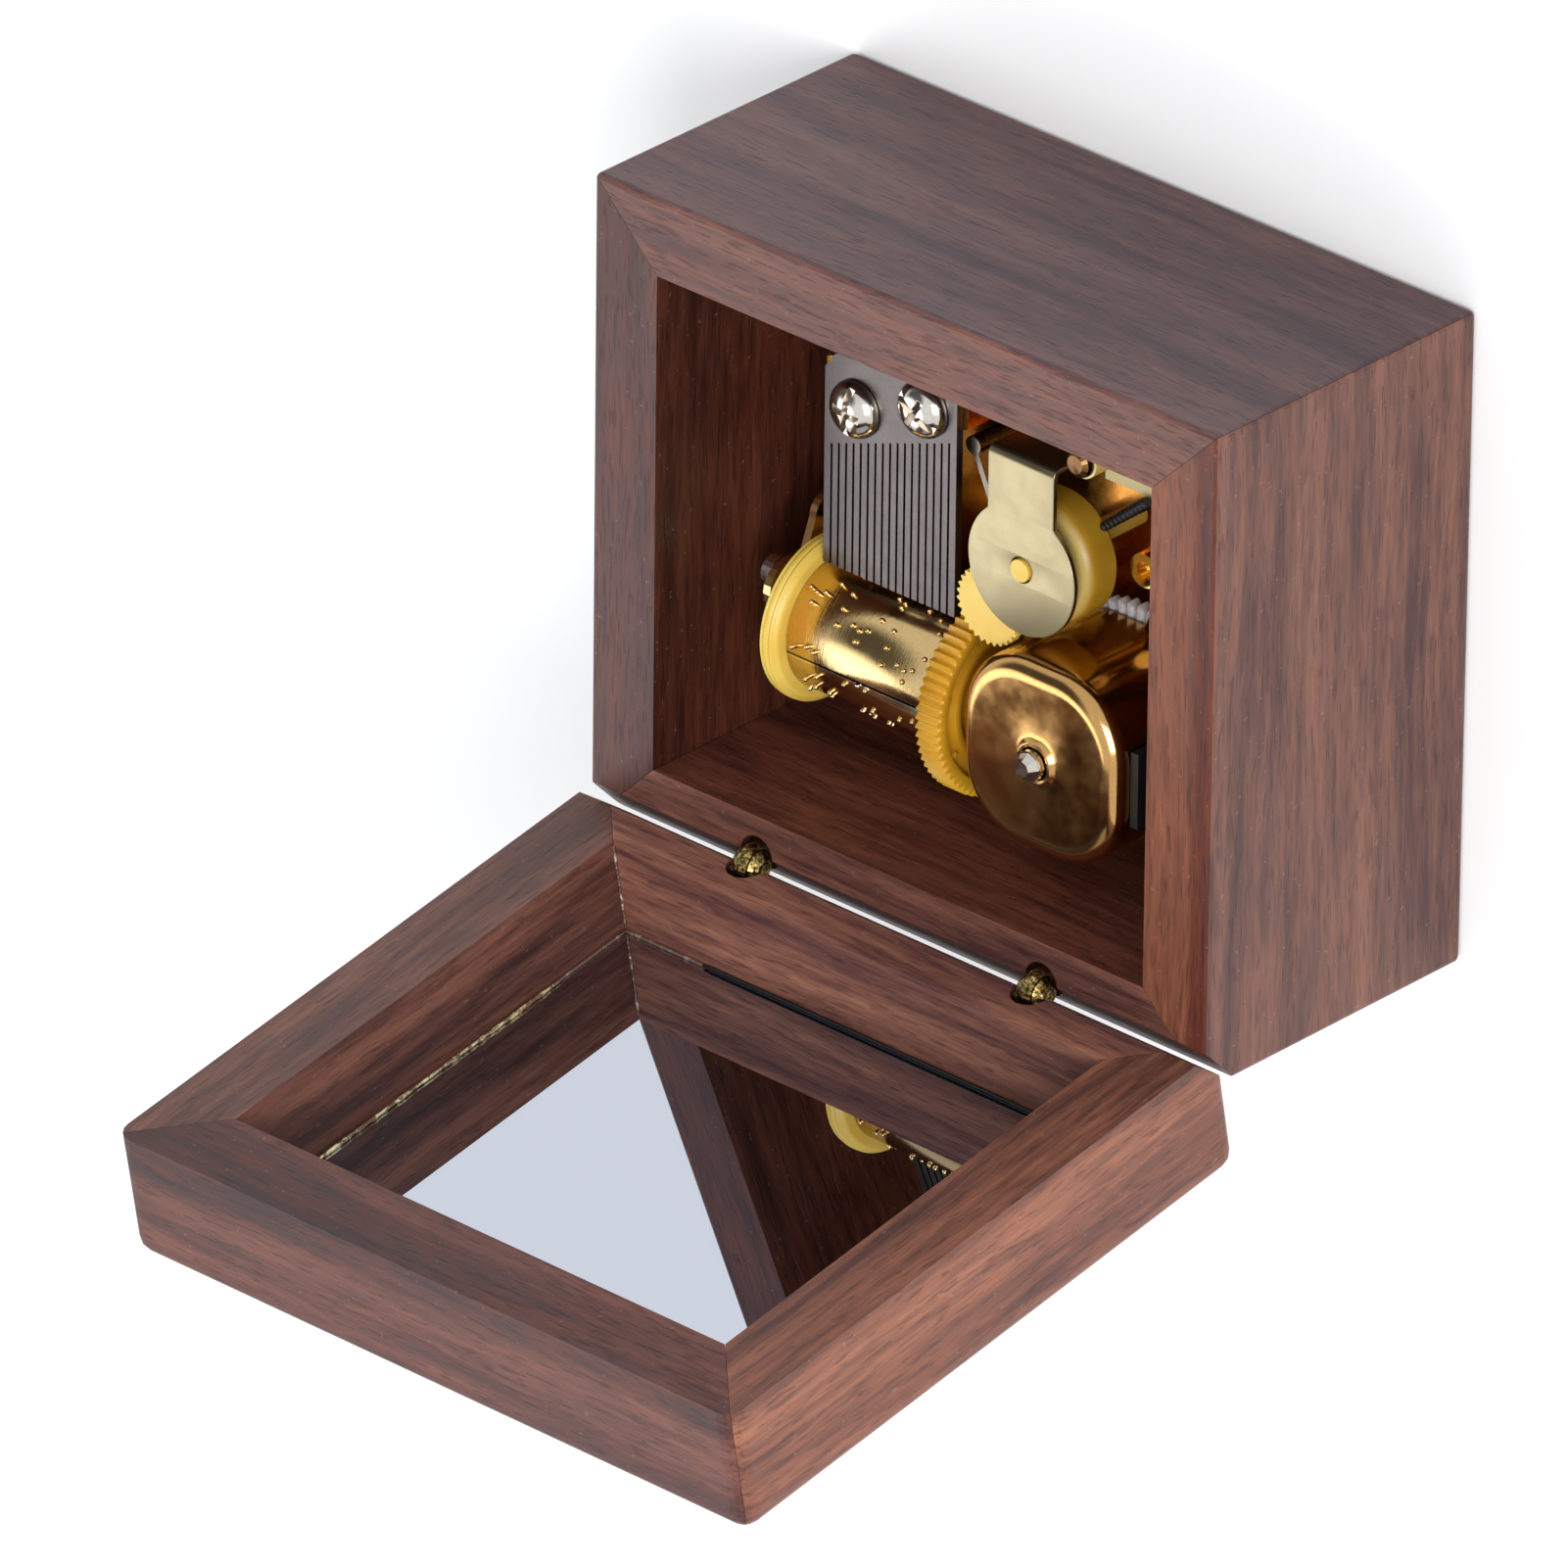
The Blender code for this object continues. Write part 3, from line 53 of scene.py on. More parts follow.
class Nodes:
    """Short calls for building one material's nodes."""

    def __init__(self, name, world=None):
        if world is None:
            self.material = bpy.data.materials.new(name)
            self.material.use_nodes = True
            self.tree = self.material.node_tree
            self.shader = self.tree.nodes["Principled BSDF"]
        else:
            self.tree = world.node_tree
        self.object_place = None

    def add(self, kind, **settings):
        node = self.tree.nodes.new(kind)
        for key, value in settings.items():
            setattr(node, key, value)
        return node

    def put(self, value, socket):
        if isinstance(value, bpy.types.NodeSocket):
            self.tree.links.new(value, socket)
        else:
            socket.default_value = value

    def math(self, operation, *values, clamp=False):
        node = self.add("ShaderNodeMath", operation=operation, use_clamp=clamp)
        for value, socket in zip(values, node.inputs):
            self.put(value, socket)
        return node.outputs[0]

    def place(self):
        """Object coordinates, which are the row frame in metres at rest."""
        if self.object_place is None:
            self.object_place = self.add("ShaderNodeTexCoord").outputs["Object"]
        return self.object_place

    def mapped(self, scale, turn=(0.0, 0.0, 0.0), offset=(0.0, 0.0, 0.0), source=None):
        node = self.add("ShaderNodeMapping", vector_type="POINT")
        self.put(source or self.place(), node.inputs["Vector"])
        node.inputs["Rotation"].default_value = turn
        node.inputs["Scale"].default_value = scale
        node.inputs["Location"].default_value = offset
        return node.outputs[0]

    def noise(self, vector, scale=1.0, detail=2.0, rough=0.5, distortion=0.0):
        node = self.add("ShaderNodeTexNoise")
        self.put(vector, node.inputs["Vector"])
        node.inputs["Scale"].default_value = scale
        node.inputs["Detail"].default_value = detail
        node.inputs["Roughness"].default_value = rough
        node.inputs["Distortion"].default_value = distortion
        return node.outputs["Fac"]

    def ramp(self, factor, *stops, interpolation="LINEAR"):
        node = self.add("ShaderNodeValToRGB")
        self.put(factor, node.inputs["Fac"])
        ramp = node.color_ramp
        ramp.interpolation = interpolation
        while len(ramp.elements) < len(stops):
            ramp.elements.new(0.5)
        for element, (position, colour) in zip(ramp.elements, stops):
            element.position = position
            element.color = colour if len(colour) == 4 else (*colour, 1.0)
        return node.outputs["Color"]

    def grey(self, factor, low, high, low_value=0.0, high_value=1.0):
        node = self.add("ShaderNodeMapRange", clamp=True)
        self.put(factor, node.inputs["Value"])
        node.inputs["From Min"].default_value = low
        node.inputs["From Max"].default_value = high
        node.inputs["To Min"].default_value = low_value
        node.inputs["To Max"].default_value = high_value
        return node.outputs["Result"]

    def bump(self, height, distance, strength=1.0, normal=None):
        node = self.add("ShaderNodeBump")
        self.put(height, node.inputs["Height"])
        node.inputs["Distance"].default_value = distance
        node.inputs["Strength"].default_value = strength
        if normal is not None:
            self.put(normal, node.inputs["Normal"])
        return node.outputs["Normal"]

    def surface(self, **values):
        names = {"colour": "Base Color", "roughness": "Roughness", "metallic": "Metallic",
                 "normal": "Normal",
                 "specular": "Specular IOR Level", "subsurface": "Subsurface Weight"}
        for key, value in values.items():
            self.put(value, self.shader.inputs[names[key]])
        return self.material


def mix_colour(node_set, factor, first, second, blend="MIX"):
    """A colour mix whose sockets are found by type."""
    node = node_set.add("ShaderNodeMix", data_type="RGBA", blend_type=blend)
    colours = [s for s in node.inputs if s.type == "RGBA"]
    factors = [s for s in node.inputs if s.type == "VALUE"]
    node_set.put(factor, factors[0])
    node_set.put(first, colours[0])
    node_set.put(second, colours[1])
    return [s for s in node.outputs if s.type == "RGBA"][0]


# Places, in millimetres about the middle of the box, as the part's source lays them out

ORIGIN_Y = 29.2           # from the row's origin to the middle of the box
IN_X, IN_Y = 30.2, 25.3   # half of the inside
HALF_W, HALF_D = 38.0, 33.1
LID_RIM = 34.9
MIRROR_Z = 45.1           # mirror's face, lid closed
HINGE_Y, HINGE_Z = 30.0, 35.2
HINGE_X = (17.2, -17.9)
LID_OPEN = math.radians(100.7)
CYL_Y, AXIS_Z, CYL_R = 11.1, 21.2, 6.6
CYL_LEFT, CYL_RIGHT = 20.1, 1.25
GEAR_LEFT, GEAR_RIGHT = 1.19, -1.51
GEAR_TEETH, WHEEL_TEETH = 66, 56   # teeth as drawn
SPRING_X, SPRING_Y = -13.40, 10.0
HOUSING_LOW, HOUSING_TOP, HOUSING_SIZE = 17.7, 30.7, 19.2
EAR_REACH = 12.9
GOV_X, GOV_Y, GOV_Z = -9.2, -7.2, 28.5
STEM_LEFT, STEM_RIGHT, STEM_END = -5.0, -13.0, -18.5
FOOT_LOW = 12.42
DRUM_TOP, DRUM_LOW, DRUM_R = 26.3, 22.4, 6.3


def at(x, y, z):
    """A place in the laid-out millimetres as a point of the row frame."""
    return Vector((x, y + ORIGIN_Y, z)) * MM


HINGE_POINT = at(0.0, HINGE_Y, HINGE_Z)
LID_CLOSE = Matrix.Rotation(LID_OPEN, 3, "X")
TO_OPEN = (Matrix.Translation(HINGE_POINT) @ Matrix.Rotation(-LID_OPEN, 4, "X")
           @ Matrix.Translation(-HINGE_POINT))


# Walnut

def closed_place(w):
    """Coordinates that a lid piece would have with the lid shut."""
    return w.mapped((1.0, 1.0, 1.0), (LID_OPEN, 0.0, 0.0), HINGE_POINT - LID_CLOSE @ HINGE_POINT)


def face_normal(w, lid):
    """The surface's own normal, for the lid as if it were shut."""
    normal = w.add("ShaderNodeTexCoord").outputs["Normal"]
    if lid:
        node = w.add("ShaderNodeMapping", vector_type="VECTOR")
        w.put(normal, node.inputs["Vector"])
        node.inputs["Rotation"].default_value = (LID_OPEN, 0.0, 0.0)
        normal = node.outputs[0]
    return normal


def toward(w, normal, direction):
    node = w.add("ShaderNodeVectorMath", operation="DOT_PRODUCT")
    w.put(normal, node.inputs[0])
    node.inputs[1].default_value = direction
    return node.outputs["Value"]


def walnut(name, along, lid, light, middle, dark, seed, faces, red_edge=None):
    """Oiled walnut with dark flecks and pores along the grain.

    faces is a list of (direction, tint), painted light and shade: the tint multiplies the colour of
    the surfaces that look in that direction, darker on inner faces and with a blue-grey sheen on some outer
    ones.
    """
    w = Nodes(name)
    base = closed_place(w) if lid else w.place()
    turn = (0.0, 0.0, math.radians(-90.0)) if along == "Y" else (0.0, 0.0, 0.0)
    turned = w.mapped((1.0, 1.0, 1.0), turn, (seed * 0.37, seed * 0.11, seed * 0.23), base)
    sway = w.noise(w.mapped((16.0, 70.0, 70.0), source=turned), 1.0, 2.0, 0.5)
    swayed = w.add("ShaderNodeVectorMath", operation="ADD")
    shift = w.add("ShaderNodeCombineXYZ")
    w.put(w.math("MULTIPLY", sway, 0.005), shift.inputs[1])
    w.put(w.math("MULTIPLY", sway, 0.004), shift.inputs[2])
    w.put(turned, swayed.inputs[0])
    w.put(shift.outputs[0], swayed.inputs[1])
    place = swayed.outputs[0]
    bands = w.noise(w.mapped((10.0, 190.0, 190.0), source=place), 1.0, 2.0, 0.55, 0.3)
    streaks = w.noise(w.mapped((70.0, 900.0, 900.0), source=place), 1.0, 3.0, 0.62)
    flecks = w.noise(w.mapped((130.0, 1050.0, 1050.0), source=place), 1.0, 2.0, 0.5, 0.2)
    fibres = w.noise(w.mapped((300.0, 4200.0, 4200.0), source=place), 1.0, 2.0, 0.6)
    pores = w.noise(w.mapped((340.0, 3100.0, 3100.0), source=place), 1.0, 1.5, 0.5)
    tone = w.math("ADD", w.math("MULTIPLY", bands, 0.55), w.math("MULTIPLY", streaks, 0.45))
    tone = w.grey(tone, 0.36, 0.64)
    colour = w.ramp(tone, (0.0, dark), (0.5, middle), (1.0, light))
    fleck = tuple(c * k for c, k in zip(dark[:3], (0.62, 0.55, 0.72))) + (1.0,)
    colour = mix_colour(w, w.grey(flecks, 0.53, 0.70, 0.0, 0.38), colour, fleck)
    fibre_tone = w.grey(fibres, 0.3, 0.7, 0.84, 1.14)
    fibre_colour = w.add("ShaderNodeCombineColor")
    for socket in fibre_colour.inputs[:3]:
        w.put(fibre_tone, socket)
    colour = mix_colour(w, 1.0, colour, fibre_colour.outputs[0], "MULTIPLY")
    pore_mask = w.grey(pores, 0.585, 0.66)
    deep = tuple(c * k for c, k in zip(dark[:3], (0.36, 0.28, 0.40))) + (1.0,)
    colour = mix_colour(w, w.math("MULTIPLY", pore_mask, 0.42), colour, deep)
    normal = face_normal(w, lid)
    # painted light and shade: each face takes the tint for the way it looks
    for direction, tint in faces:
        mask = w.grey(toward(w, normal, direction), 0.55, 0.75)
        colour = mix_colour(w, mask, colour, (*tint, 1.0), "MULTIPLY")
    if red_edge is not None:
        axis, start, end, tint = red_edge
        apart = w.add("ShaderNodeSeparateXYZ")
        w.put(base, apart.inputs[0])
        mask = w.grey(apart.outputs[axis], start, end)
        up = w.grey(toward(w, normal, (0.0, 0.0, 1.0)), 0.55, 0.75)
        colour = mix_colour(w, w.math("MULTIPLY", mask, up), colour, (*tint, 1.0), "MULTIPLY")
    dust = w.noise(w.mapped((2300.0, 2300.0, 2300.0)), 1.0, 0.0, 0.5)
    colour = mix_colour(w, w.grey(dust, 0.80, 0.84, 0.0, 0.12), colour, linear(190, 176, 168))
    height = w.math("SUBTRACT", w.math("MULTIPLY", fibres, 0.35), pore_mask)
    bumped = w.bump(height, 0.00005, 0.5)
    rough = w.grey(streaks, 0.3, 0.7, 0.40, 0.56)
    return w.surface(colour=colour, roughness=rough, normal=bumped, specular=0.36)


def paint(node, material):
    """Give a CAD node a material of the scene's own."""
    target = nodes[node]
    target.data.materials.clear()
    target.data.materials.append(material)


FRONT, BACK = (0.0, -1.0, 0.0), (0.0, 1.0, 0.0)
LEFT, RIGHT = (1.0, 0.0, 0.0), (-1.0, 0.0, 0.0)
UP, DOWN = (0.0, 0.0, 1.0), (0.0, 0.0, -1.0)
# Painted shade for the box's inner faces; the other (direction, tint) pairs below are painted light and shade
# too, with a blue-grey sheen on the front and right outer faces.
INSIDE_SHADE = (0.62, 0.42, 0.36)
WALNUT = {
    "wall_front": ("X", False, (125, 82, 70), (102, 65, 58), (66, 40, 41), 1.3,
                   [(FRONT, (0.71, 0.81, 1.04)), (BACK, INSIDE_SHADE)], None),
    "wall_back": ("X", False, (138, 88, 70), (108, 66, 54), (68, 38, 36), 2.9,
                  [(FRONT, (0.74, 0.58, 0.56))], None),
    "wall_left": ("Y", False, (108, 67, 57), (87, 52, 47), (56, 31, 31), 4.1,
                  [(RIGHT, (0.80, 0.57, 0.36))], None),
    "wall_right": ("Y", False, (140, 82, 56), (118, 68, 48), (80, 44, 34), 5.7,
                   [(LEFT, INSIDE_SHADE), (RIGHT, (0.80, 1.04, 1.46))],
                   (0, -0.0352, -0.0362, (0.66, 0.46, 0.46))),
    "lid_rail_front": ("X", True, (121, 75, 64), (93, 54, 47), (59, 32, 34), 7.3,
                       [(DOWN, (0.8, 0.72, 0.72))], None),
    "lid_rail_back": ("X", True, (168, 113, 90), (132, 85, 71), (85, 50, 50), 8.9,
                      [(BACK, (0.9, 0.72, 0.6))], None),
    "lid_rail_left": ("Y", True, (128, 86, 72), (100, 64, 54), (62, 38, 38), 9.7,
                      [(RIGHT, (0.95, 0.85, 0.8))], None),
    "lid_rail_right": ("Y", True, (150, 95, 72), (122, 74, 57), (78, 45, 40), 11.3, [], None),
    "lid_panel": ("X", True, (150, 106, 92), (120, 82, 74), (78, 50, 48), 13.1, [], None),
}
for node_name, (along, lid, light, middle, dark, seed, faces, red_edge) in WALNUT.items():
    paint(node_name, walnut(node_name + "_walnut", along, lid, linear(*light), linear(*middle),
                            linear(*dark), seed, faces, red_edge))
# The UP tint is painted shade on the panel's inside face.
paint("base_panel", walnut("panel_ply", "X", False, linear(104, 62, 46), linear(80, 46, 36),
                           linear(56, 32, 28), 15.7, [(UP, (0.8, 0.7, 0.65))]))


# Metals and plastics

def metal(name, colour, roughness, wear=0.05, grain=None, tint=None, flaw=0.35):
    """Polished metal with faint smears and, along grain, fine brushing."""
    m = Nodes(name)
    smears = m.noise(m.mapped((420.0, 420.0, 420.0)), 1.0, 3.0, 0.6)
    specks = m.noise(m.mapped((2600.0, 2600.0, 2600.0)), 1.0, 2.0, 0.5)
    rough = m.grey(smears, 0.35, 0.7, roughness - wear * 0.4, roughness + wear)
    shade = mix_colour(m, m.grey(specks, 0.35, 0.75, 0.0, flaw), colour, tint or colour)
    normal = m.bump(smears, 0.00002, 0.10)
    if grain is not None:
        lines = m.noise(m.mapped(grain), 1.0, 2.0, 0.6)
        normal = m.bump(lines, 0.000012, 0.6, normal)
    return m.surface(colour=shade, roughness=rough, metallic=1.0, normal=normal)


def plastic(name, colour, deep, roughness=0.38, subsurface=0.0, speck=0.0, top=None):
    """Moulded plastic with slight flow marks; top is painted light, a lighter colour on the faces that look
    up.
    """
    m = Nodes(name)
    flow = m.noise(m.mapped((180.0, 180.0, 180.0)), 1.0, 3.0, 0.55)
    fine = m.noise(m.mapped((3500.0, 3500.0, 3500.0)), 1.0, 2.0, 0.5)
    shade = mix_colour(m, m.grey(flow, 0.3, 0.7), colour, deep)
    if top is not None:
        # painted light: the faces that look up take the lighter top colour
        up = m.grey(toward(m, face_normal(m, False), UP), 0.4, 0.9)
        shade = mix_colour(m, up, shade, top)
    rough = m.grey(fine, 0.3, 0.7, roughness - 0.06, roughness + 0.08)
    normal = m.bump(fine, 0.00002, 0.15 + speck)
    material = m.surface(colour=shade, roughness=rough, normal=normal, subsurface=subsurface)
    m.shader.inputs["Subsurface Radius"].default_value = (0.9, 0.55, 0.2)
    m.shader.inputs["Subsurface Scale"].default_value = 0.001
    return material


GOLD = linear(250, 214, 140)
gold = metal("gold_plate", GOLD, 0.11, 0.05, None, linear(226, 184, 104))
housing_gold = metal("housing_gold", linear(212, 167, 105), 0.13, 0.06, None, linear(184, 136, 74))
deep_gold = metal("gold_plate_deep", linear(206, 140, 62), 0.16, 0.06, None, linear(150, 90, 34))
matte_gold = metal("gold_matte", linear(157, 145, 114), 0.30, 0.06, None, linear(150, 138, 106))
steel = metal("comb_steel", linear(103, 96, 95), 0.36, 0.05, (6000.0, 120.0, 120.0), linear(87, 82, 78))
nickel = metal("nickel", linear(226, 220, 210), 0.12, 0.06, None, linear(196, 186, 174))
dark_steel = metal("dark_steel", linear(120, 112, 104), 0.25, 0.08, None, linear(96, 88, 80))
# Painted reflection: the platform screw's gold head is coloured dark brown, as it shows the dark wood around
# it.
shaded_brass = metal("brass_painted_dark", linear(120, 88, 58), 0.24, 0.10, None, linear(70, 48, 30))
yellow = plastic("yellow_plastic", linear(236, 206, 104), linear(226, 186, 76), 0.36, 0.3)
gear_yellow = plastic("gear_plastic", linear(211, 162, 41), linear(194, 137, 25), 0.34, 0.3)
# The last colours of the drum and the cream plastic are painted light on their upward faces.
drum_yellow = plastic("drum_plastic", linear(179, 138, 37), linear(165, 122, 27), 0.36, 0.3, 0.0,
                      linear(206, 180, 105))
cream = plastic("cream_plastic", linear(214, 182, 96), linear(204, 168, 80), 0.40, 0.3, 0.0,
                linear(228, 212, 160))
white = plastic("white_plastic", linear(216, 210, 208), linear(196, 190, 194), 0.36, 0.3)
black = plastic("black_plastic", linear(26, 26, 27), linear(16, 16, 17), 0.36)
dark_strip = plastic("black_edge_strip", linear(20, 20, 24), linear(12, 12, 14), 0.28)


def cylinder_brass():
    """Polished round gold with scratches around it, a seam line with a painted highlight along its lip, and a
    notch.
    """
    m = Nodes("gold_brushed_round")
    specks = m.noise(m.mapped((2600.0, 2600.0, 2600.0)), 1.0, 2.0, 0.5)
    shade = mix_colour(m, m.grey(specks, 0.35, 0.75, 0.0, 0.35), linear(226, 194, 137), linear(210, 171, 108))
    apart = m.add("ShaderNodeSeparateXYZ")
    m.put(m.place(), apart.inputs[0])
    across = m.math("SUBTRACT", apart.outputs[1], (CYL_Y + ORIGIN_Y) * MM)
    rise = m.math("SUBTRACT", apart.outputs[2], AXIS_Z * MM)
    angle = m.math("ARCTAN2", across, rise)
    off_seam = m.math("ABSOLUTE", m.math("SUBTRACT", angle, 0.125))
    seam = m.grey(off_seam, 0.014, 0.022, 1.0, 0.0)
    # painted highlight: a near-white line along the seam's lip
    lip_highlight = m.math("ABSOLUTE", m.math("SUBTRACT", angle, 0.158))
    lip_highlight = m.grey(lip_highlight, 0.010, 0.018, 1.0, 0.0)
    shade = mix_colour(m, lip_highlight, shade, linear(255, 246, 220))
    shade = mix_colour(m, seam, shade, linear(26, 14, 8))
    along = m.math("SUBTRACT", apart.outputs[0], 0.0030)
    spot = m.math("ADD", m.math("POWER", m.math("DIVIDE", along, 0.00085), 2.0),
                  m.math("POWER", m.math("DIVIDE", m.math("SUBTRACT", angle, 0.10), 0.05), 2.0))
    shade = mix_colour(m, m.grey(spot, 0.8, 1.1, 1.0, 0.0), shade, linear(70, 20, 12))
    lines = m.noise(m.mapped((5200.0, 260.0, 260.0)), 1.0, 3.0, 0.7)
    scratches = m.noise(m.mapped((2600.0, 800.0, 800.0)), 1.0, 3.0, 0.7, 0.8)
    normal = m.bump(lines, 0.00002, 0.5)
    normal = m.bump(scratches, 0.00003, 0.35, normal)
    smears = m.noise(m.mapped((500.0, 500.0, 500.0)), 1.0, 2.0, 0.6)
    return m.surface(colour=shade, roughness=m.grey(smears, 0.3, 0.7, 0.10, 0.19), metallic=1.0,
                     normal=normal)


def hinge_brass(name, lid):
    """Speckled old brass on the balls of the knuckles, with painted shade, a dull dark brown that is not
    metal, on the parts farther from each hinge's middle, where they go into the wood.
    """
    m = Nodes(name)
    grains = m.noise(m.mapped((2100.0, 2100.0, 2100.0)), 1.0, 3.0, 0.7)
    shade = m.ramp(m.grey(grains, 0.38, 0.66), (0.0, linear(48, 36, 18)), (0.5, linear(150, 124, 68)),
                   (1.0, linear(236, 216, 160)))
    far = None
    for x in HINGE_X:
        gap = m.add("ShaderNodeVectorMath", operation="DISTANCE")
        m.put(m.place(), gap.inputs[0])
        gap.inputs[1].default_value = at(x, HINGE_Y, HINGE_Z)
        far = gap.outputs["Value"] if far is None else m.math("MINIMUM", far, gap.outputs["Value"])
    ball = m.grey(far, 0.00188, 0.00194, 1.0, 0.0)
    # painted shade: beyond the ball the brass turns dark brown and not metal
    shade = mix_colour(m, ball, linear(58, 30, 22), shade)
    metallic = m.grey(far, 0.00188, 0.00194, 1.0, 0.0)
    normal = m.bump(grains, 0.00006, 0.6)
    return m.surface(colour=shade, roughness=0.30, metallic=metallic, normal=normal)


cylinder_gold = cylinder_brass()
for node_name in ("bearing_bracket_left", "bearing_bracket_right", "housing_rivet_1", "housing_rivet_2",
                  "housing_rivet_3", "governor_pillar", "winding_key"):
    paint(node_name, gold)
paint("bedplate", deep_gold)
for node_name in ("comb", "mainspring"):
    paint(node_name, steel)
for node_name in ("cylinder_arbor", "winding_shaft", "mounting_screw_1", "mounting_screw_2",
                  "mounting_screw_3", "bearing_screw"):
    paint(node_name, nickel)
paint("stop_lever", dark_steel)
# painted reflection of the dark wood on this screw head
paint("platform_screw", shaded_brass)
knuckle_brass = hinge_brass("knuckle_brass", False)
for node_name in ("hinge_barrel_body_left", "hinge_barrel_body_right", "hinge_pin_left", "hinge_pin_right",
                  "hinge_barrel_lid_left", "hinge_barrel_lid_right"):
    paint(node_name, knuckle_brass)
for node_name in ("first_gear", "governor_arbor"):
    paint(node_name, yellow)
paint("governor_platform", cream)
paint("governor_fly", white)
paint("click_plate", black)


def mirror_glass():
    m = Nodes("mirror_silver")
    smears = m.noise(m.mapped((60.0, 60.0, 60.0)), 1.0, 3.0, 0.6)
    m.surface(colour=linear(186, 190, 200), metallic=1.0,
              roughness=m.grey(smears, 0.4, 0.8, 0.0, 0.02))
    return m.material


paint("lid_mirror", mirror_glass())


# Pieces that stand for CAD nodes, with rounder and finer forms

def piece(name, work, body, material, stands_for=(), sharp=40.0, place=None):
    """Turn a mesh in work into a named piece that rides on a body."""
    mesh = bpy.data.meshes.new(name)
    if place is not None:
        bmesh.ops.transform(work, matrix=place, verts=work.verts)
    bmesh.ops.recalc_face_normals(work, faces=work.faces)
    work.to_mesh(mesh)
    work.free()
    item = bpy.data.objects.new(name, mesh)
    bpy.context.scene.collection.objects.link(item)
    mesh.materials.append(material)
    mesh.shade_smooth()
    mesh.set_sharp_from_angle(angle=math.radians(sharp))
    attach(item, body)
    if stands_for:
        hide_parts(*stands_for)
    return item


def loft(rings, caps=(False, False), work=None):
    """Quads between rings of points in millimetres, all of one length."""
    work = work or bmesh.new()
    made = [[work.verts.new(at(*p)) for p in ring] for ring in rings]
    for first, second in zip(made, made[1:]):
        for i in range(len(first)):
            j = (i + 1) % len(first)
            work.faces.new((first[i], first[j], second[j], second[i]))
    if caps[0]:
        work.faces.new(made[0][::-1])
    if caps[1]:
        work.faces.new(made[-1])
    return work


def circle(radius, height, centre, axis, steps, teeth=None):
    """Points round an axis; centre is the other two places, teeth a radius rule."""
    points = []
    for i in range(steps):
        angle = math.tau * i / steps
        r = radius if teeth is None else teeth(angle, radius)
        u, v = centre[0] + r * math.cos(angle), centre[1] + r * math.sin(angle)
        points.append((height, u, v) if axis == "X" else (u, v, height))
    return points


def lathe(profile, centre, axis="Z", steps=72, work=None, closed=True):
    """A profile of (radius, height) turned about an axis."""
    rings = [circle(max(r, 0.004), h, centre, axis, steps) for r, h in profile]
    if closed:
        rings.append(rings[0])
    work = loft(rings, (not closed, not closed), work)
    bmesh.ops.remove_doubles(work, verts=work.verts, dist=1e-7)
    return work


def curve_of(centre_u, centre_v, radius, first, last, steps):
    """Profile points along an arc, angles in degrees."""
    return [(centre_u + radius * math.cos(math.radians(first + (last - first) * i / steps)),
             centre_v + radius * math.sin(math.radians(first + (last - first) * i / steps)))
            for i in range(steps + 1)]


def squircle(size, corner, height, steps=12):
    """A square with large round corners about the housing's middle."""
    half = size / 2 - corner
    points = []
    for quarter, (sx, sy) in enumerate(((1, 1), (-1, 1), (-1, -1), (1, -1))):
        for u, v in curve_of(sx * half, sy * half, corner, quarter * 90, quarter * 90 + 90, steps):
            points.append((SPRING_X + u, SPRING_Y + v, height))
    return points


def round_of(points, radius, height):
    """The same number of points on a circle about the housing's middle."""
    out = []
    for x, y, z in points:
        turn = math.atan2(y - SPRING_Y, x - SPRING_X)
        out.append((SPRING_X + radius * math.cos(turn), SPRING_Y + radius * math.sin(turn), height))
    return out


def housing():
    corner, soft = 7.5, 1.8
    rings = [squircle(HOUSING_SIZE - 1.2, corner - 0.6, HOUSING_LOW),
             squircle(HOUSING_SIZE - 0.2, corner - 0.1, HOUSING_LOW)]
    for z in (HOUSING_LOW + 0.12, HOUSING_LOW + 4.0, HOUSING_TOP - soft):
        rings.append(squircle(HOUSING_SIZE, corner, z))
    for u, v in curve_of(0.0, HOUSING_TOP - soft, soft, 0, 90, 9)[1:]:
        inset = soft - u
        rings.append(squircle(HOUSING_SIZE - 2 * inset, corner - inset, v))
    rings.append(squircle(HOUSING_SIZE - 2 * soft - 0.6, corner - soft - 0.3, HOUSING_TOP))
    last = rings[-1]
    for radius, z in ((6.0, HOUSING_TOP), (2.9, HOUSING_TOP), (2.45, HOUSING_TOP + 0.06),
                      (2.2, HOUSING_TOP + 0.28), (2.05, HOUSING_TOP + 0.45), (1.9, HOUSING_TOP + 0.5),
                      (1.68, HOUSING_TOP + 0.42), (1.64, HOUSING_TOP - 1.0)):
        rings.append(round_of(last, radius, z))
    return loft(rings)


piece("housing_cap", housing(), "case", housing_gold, ("spring_housing",), 30.0)


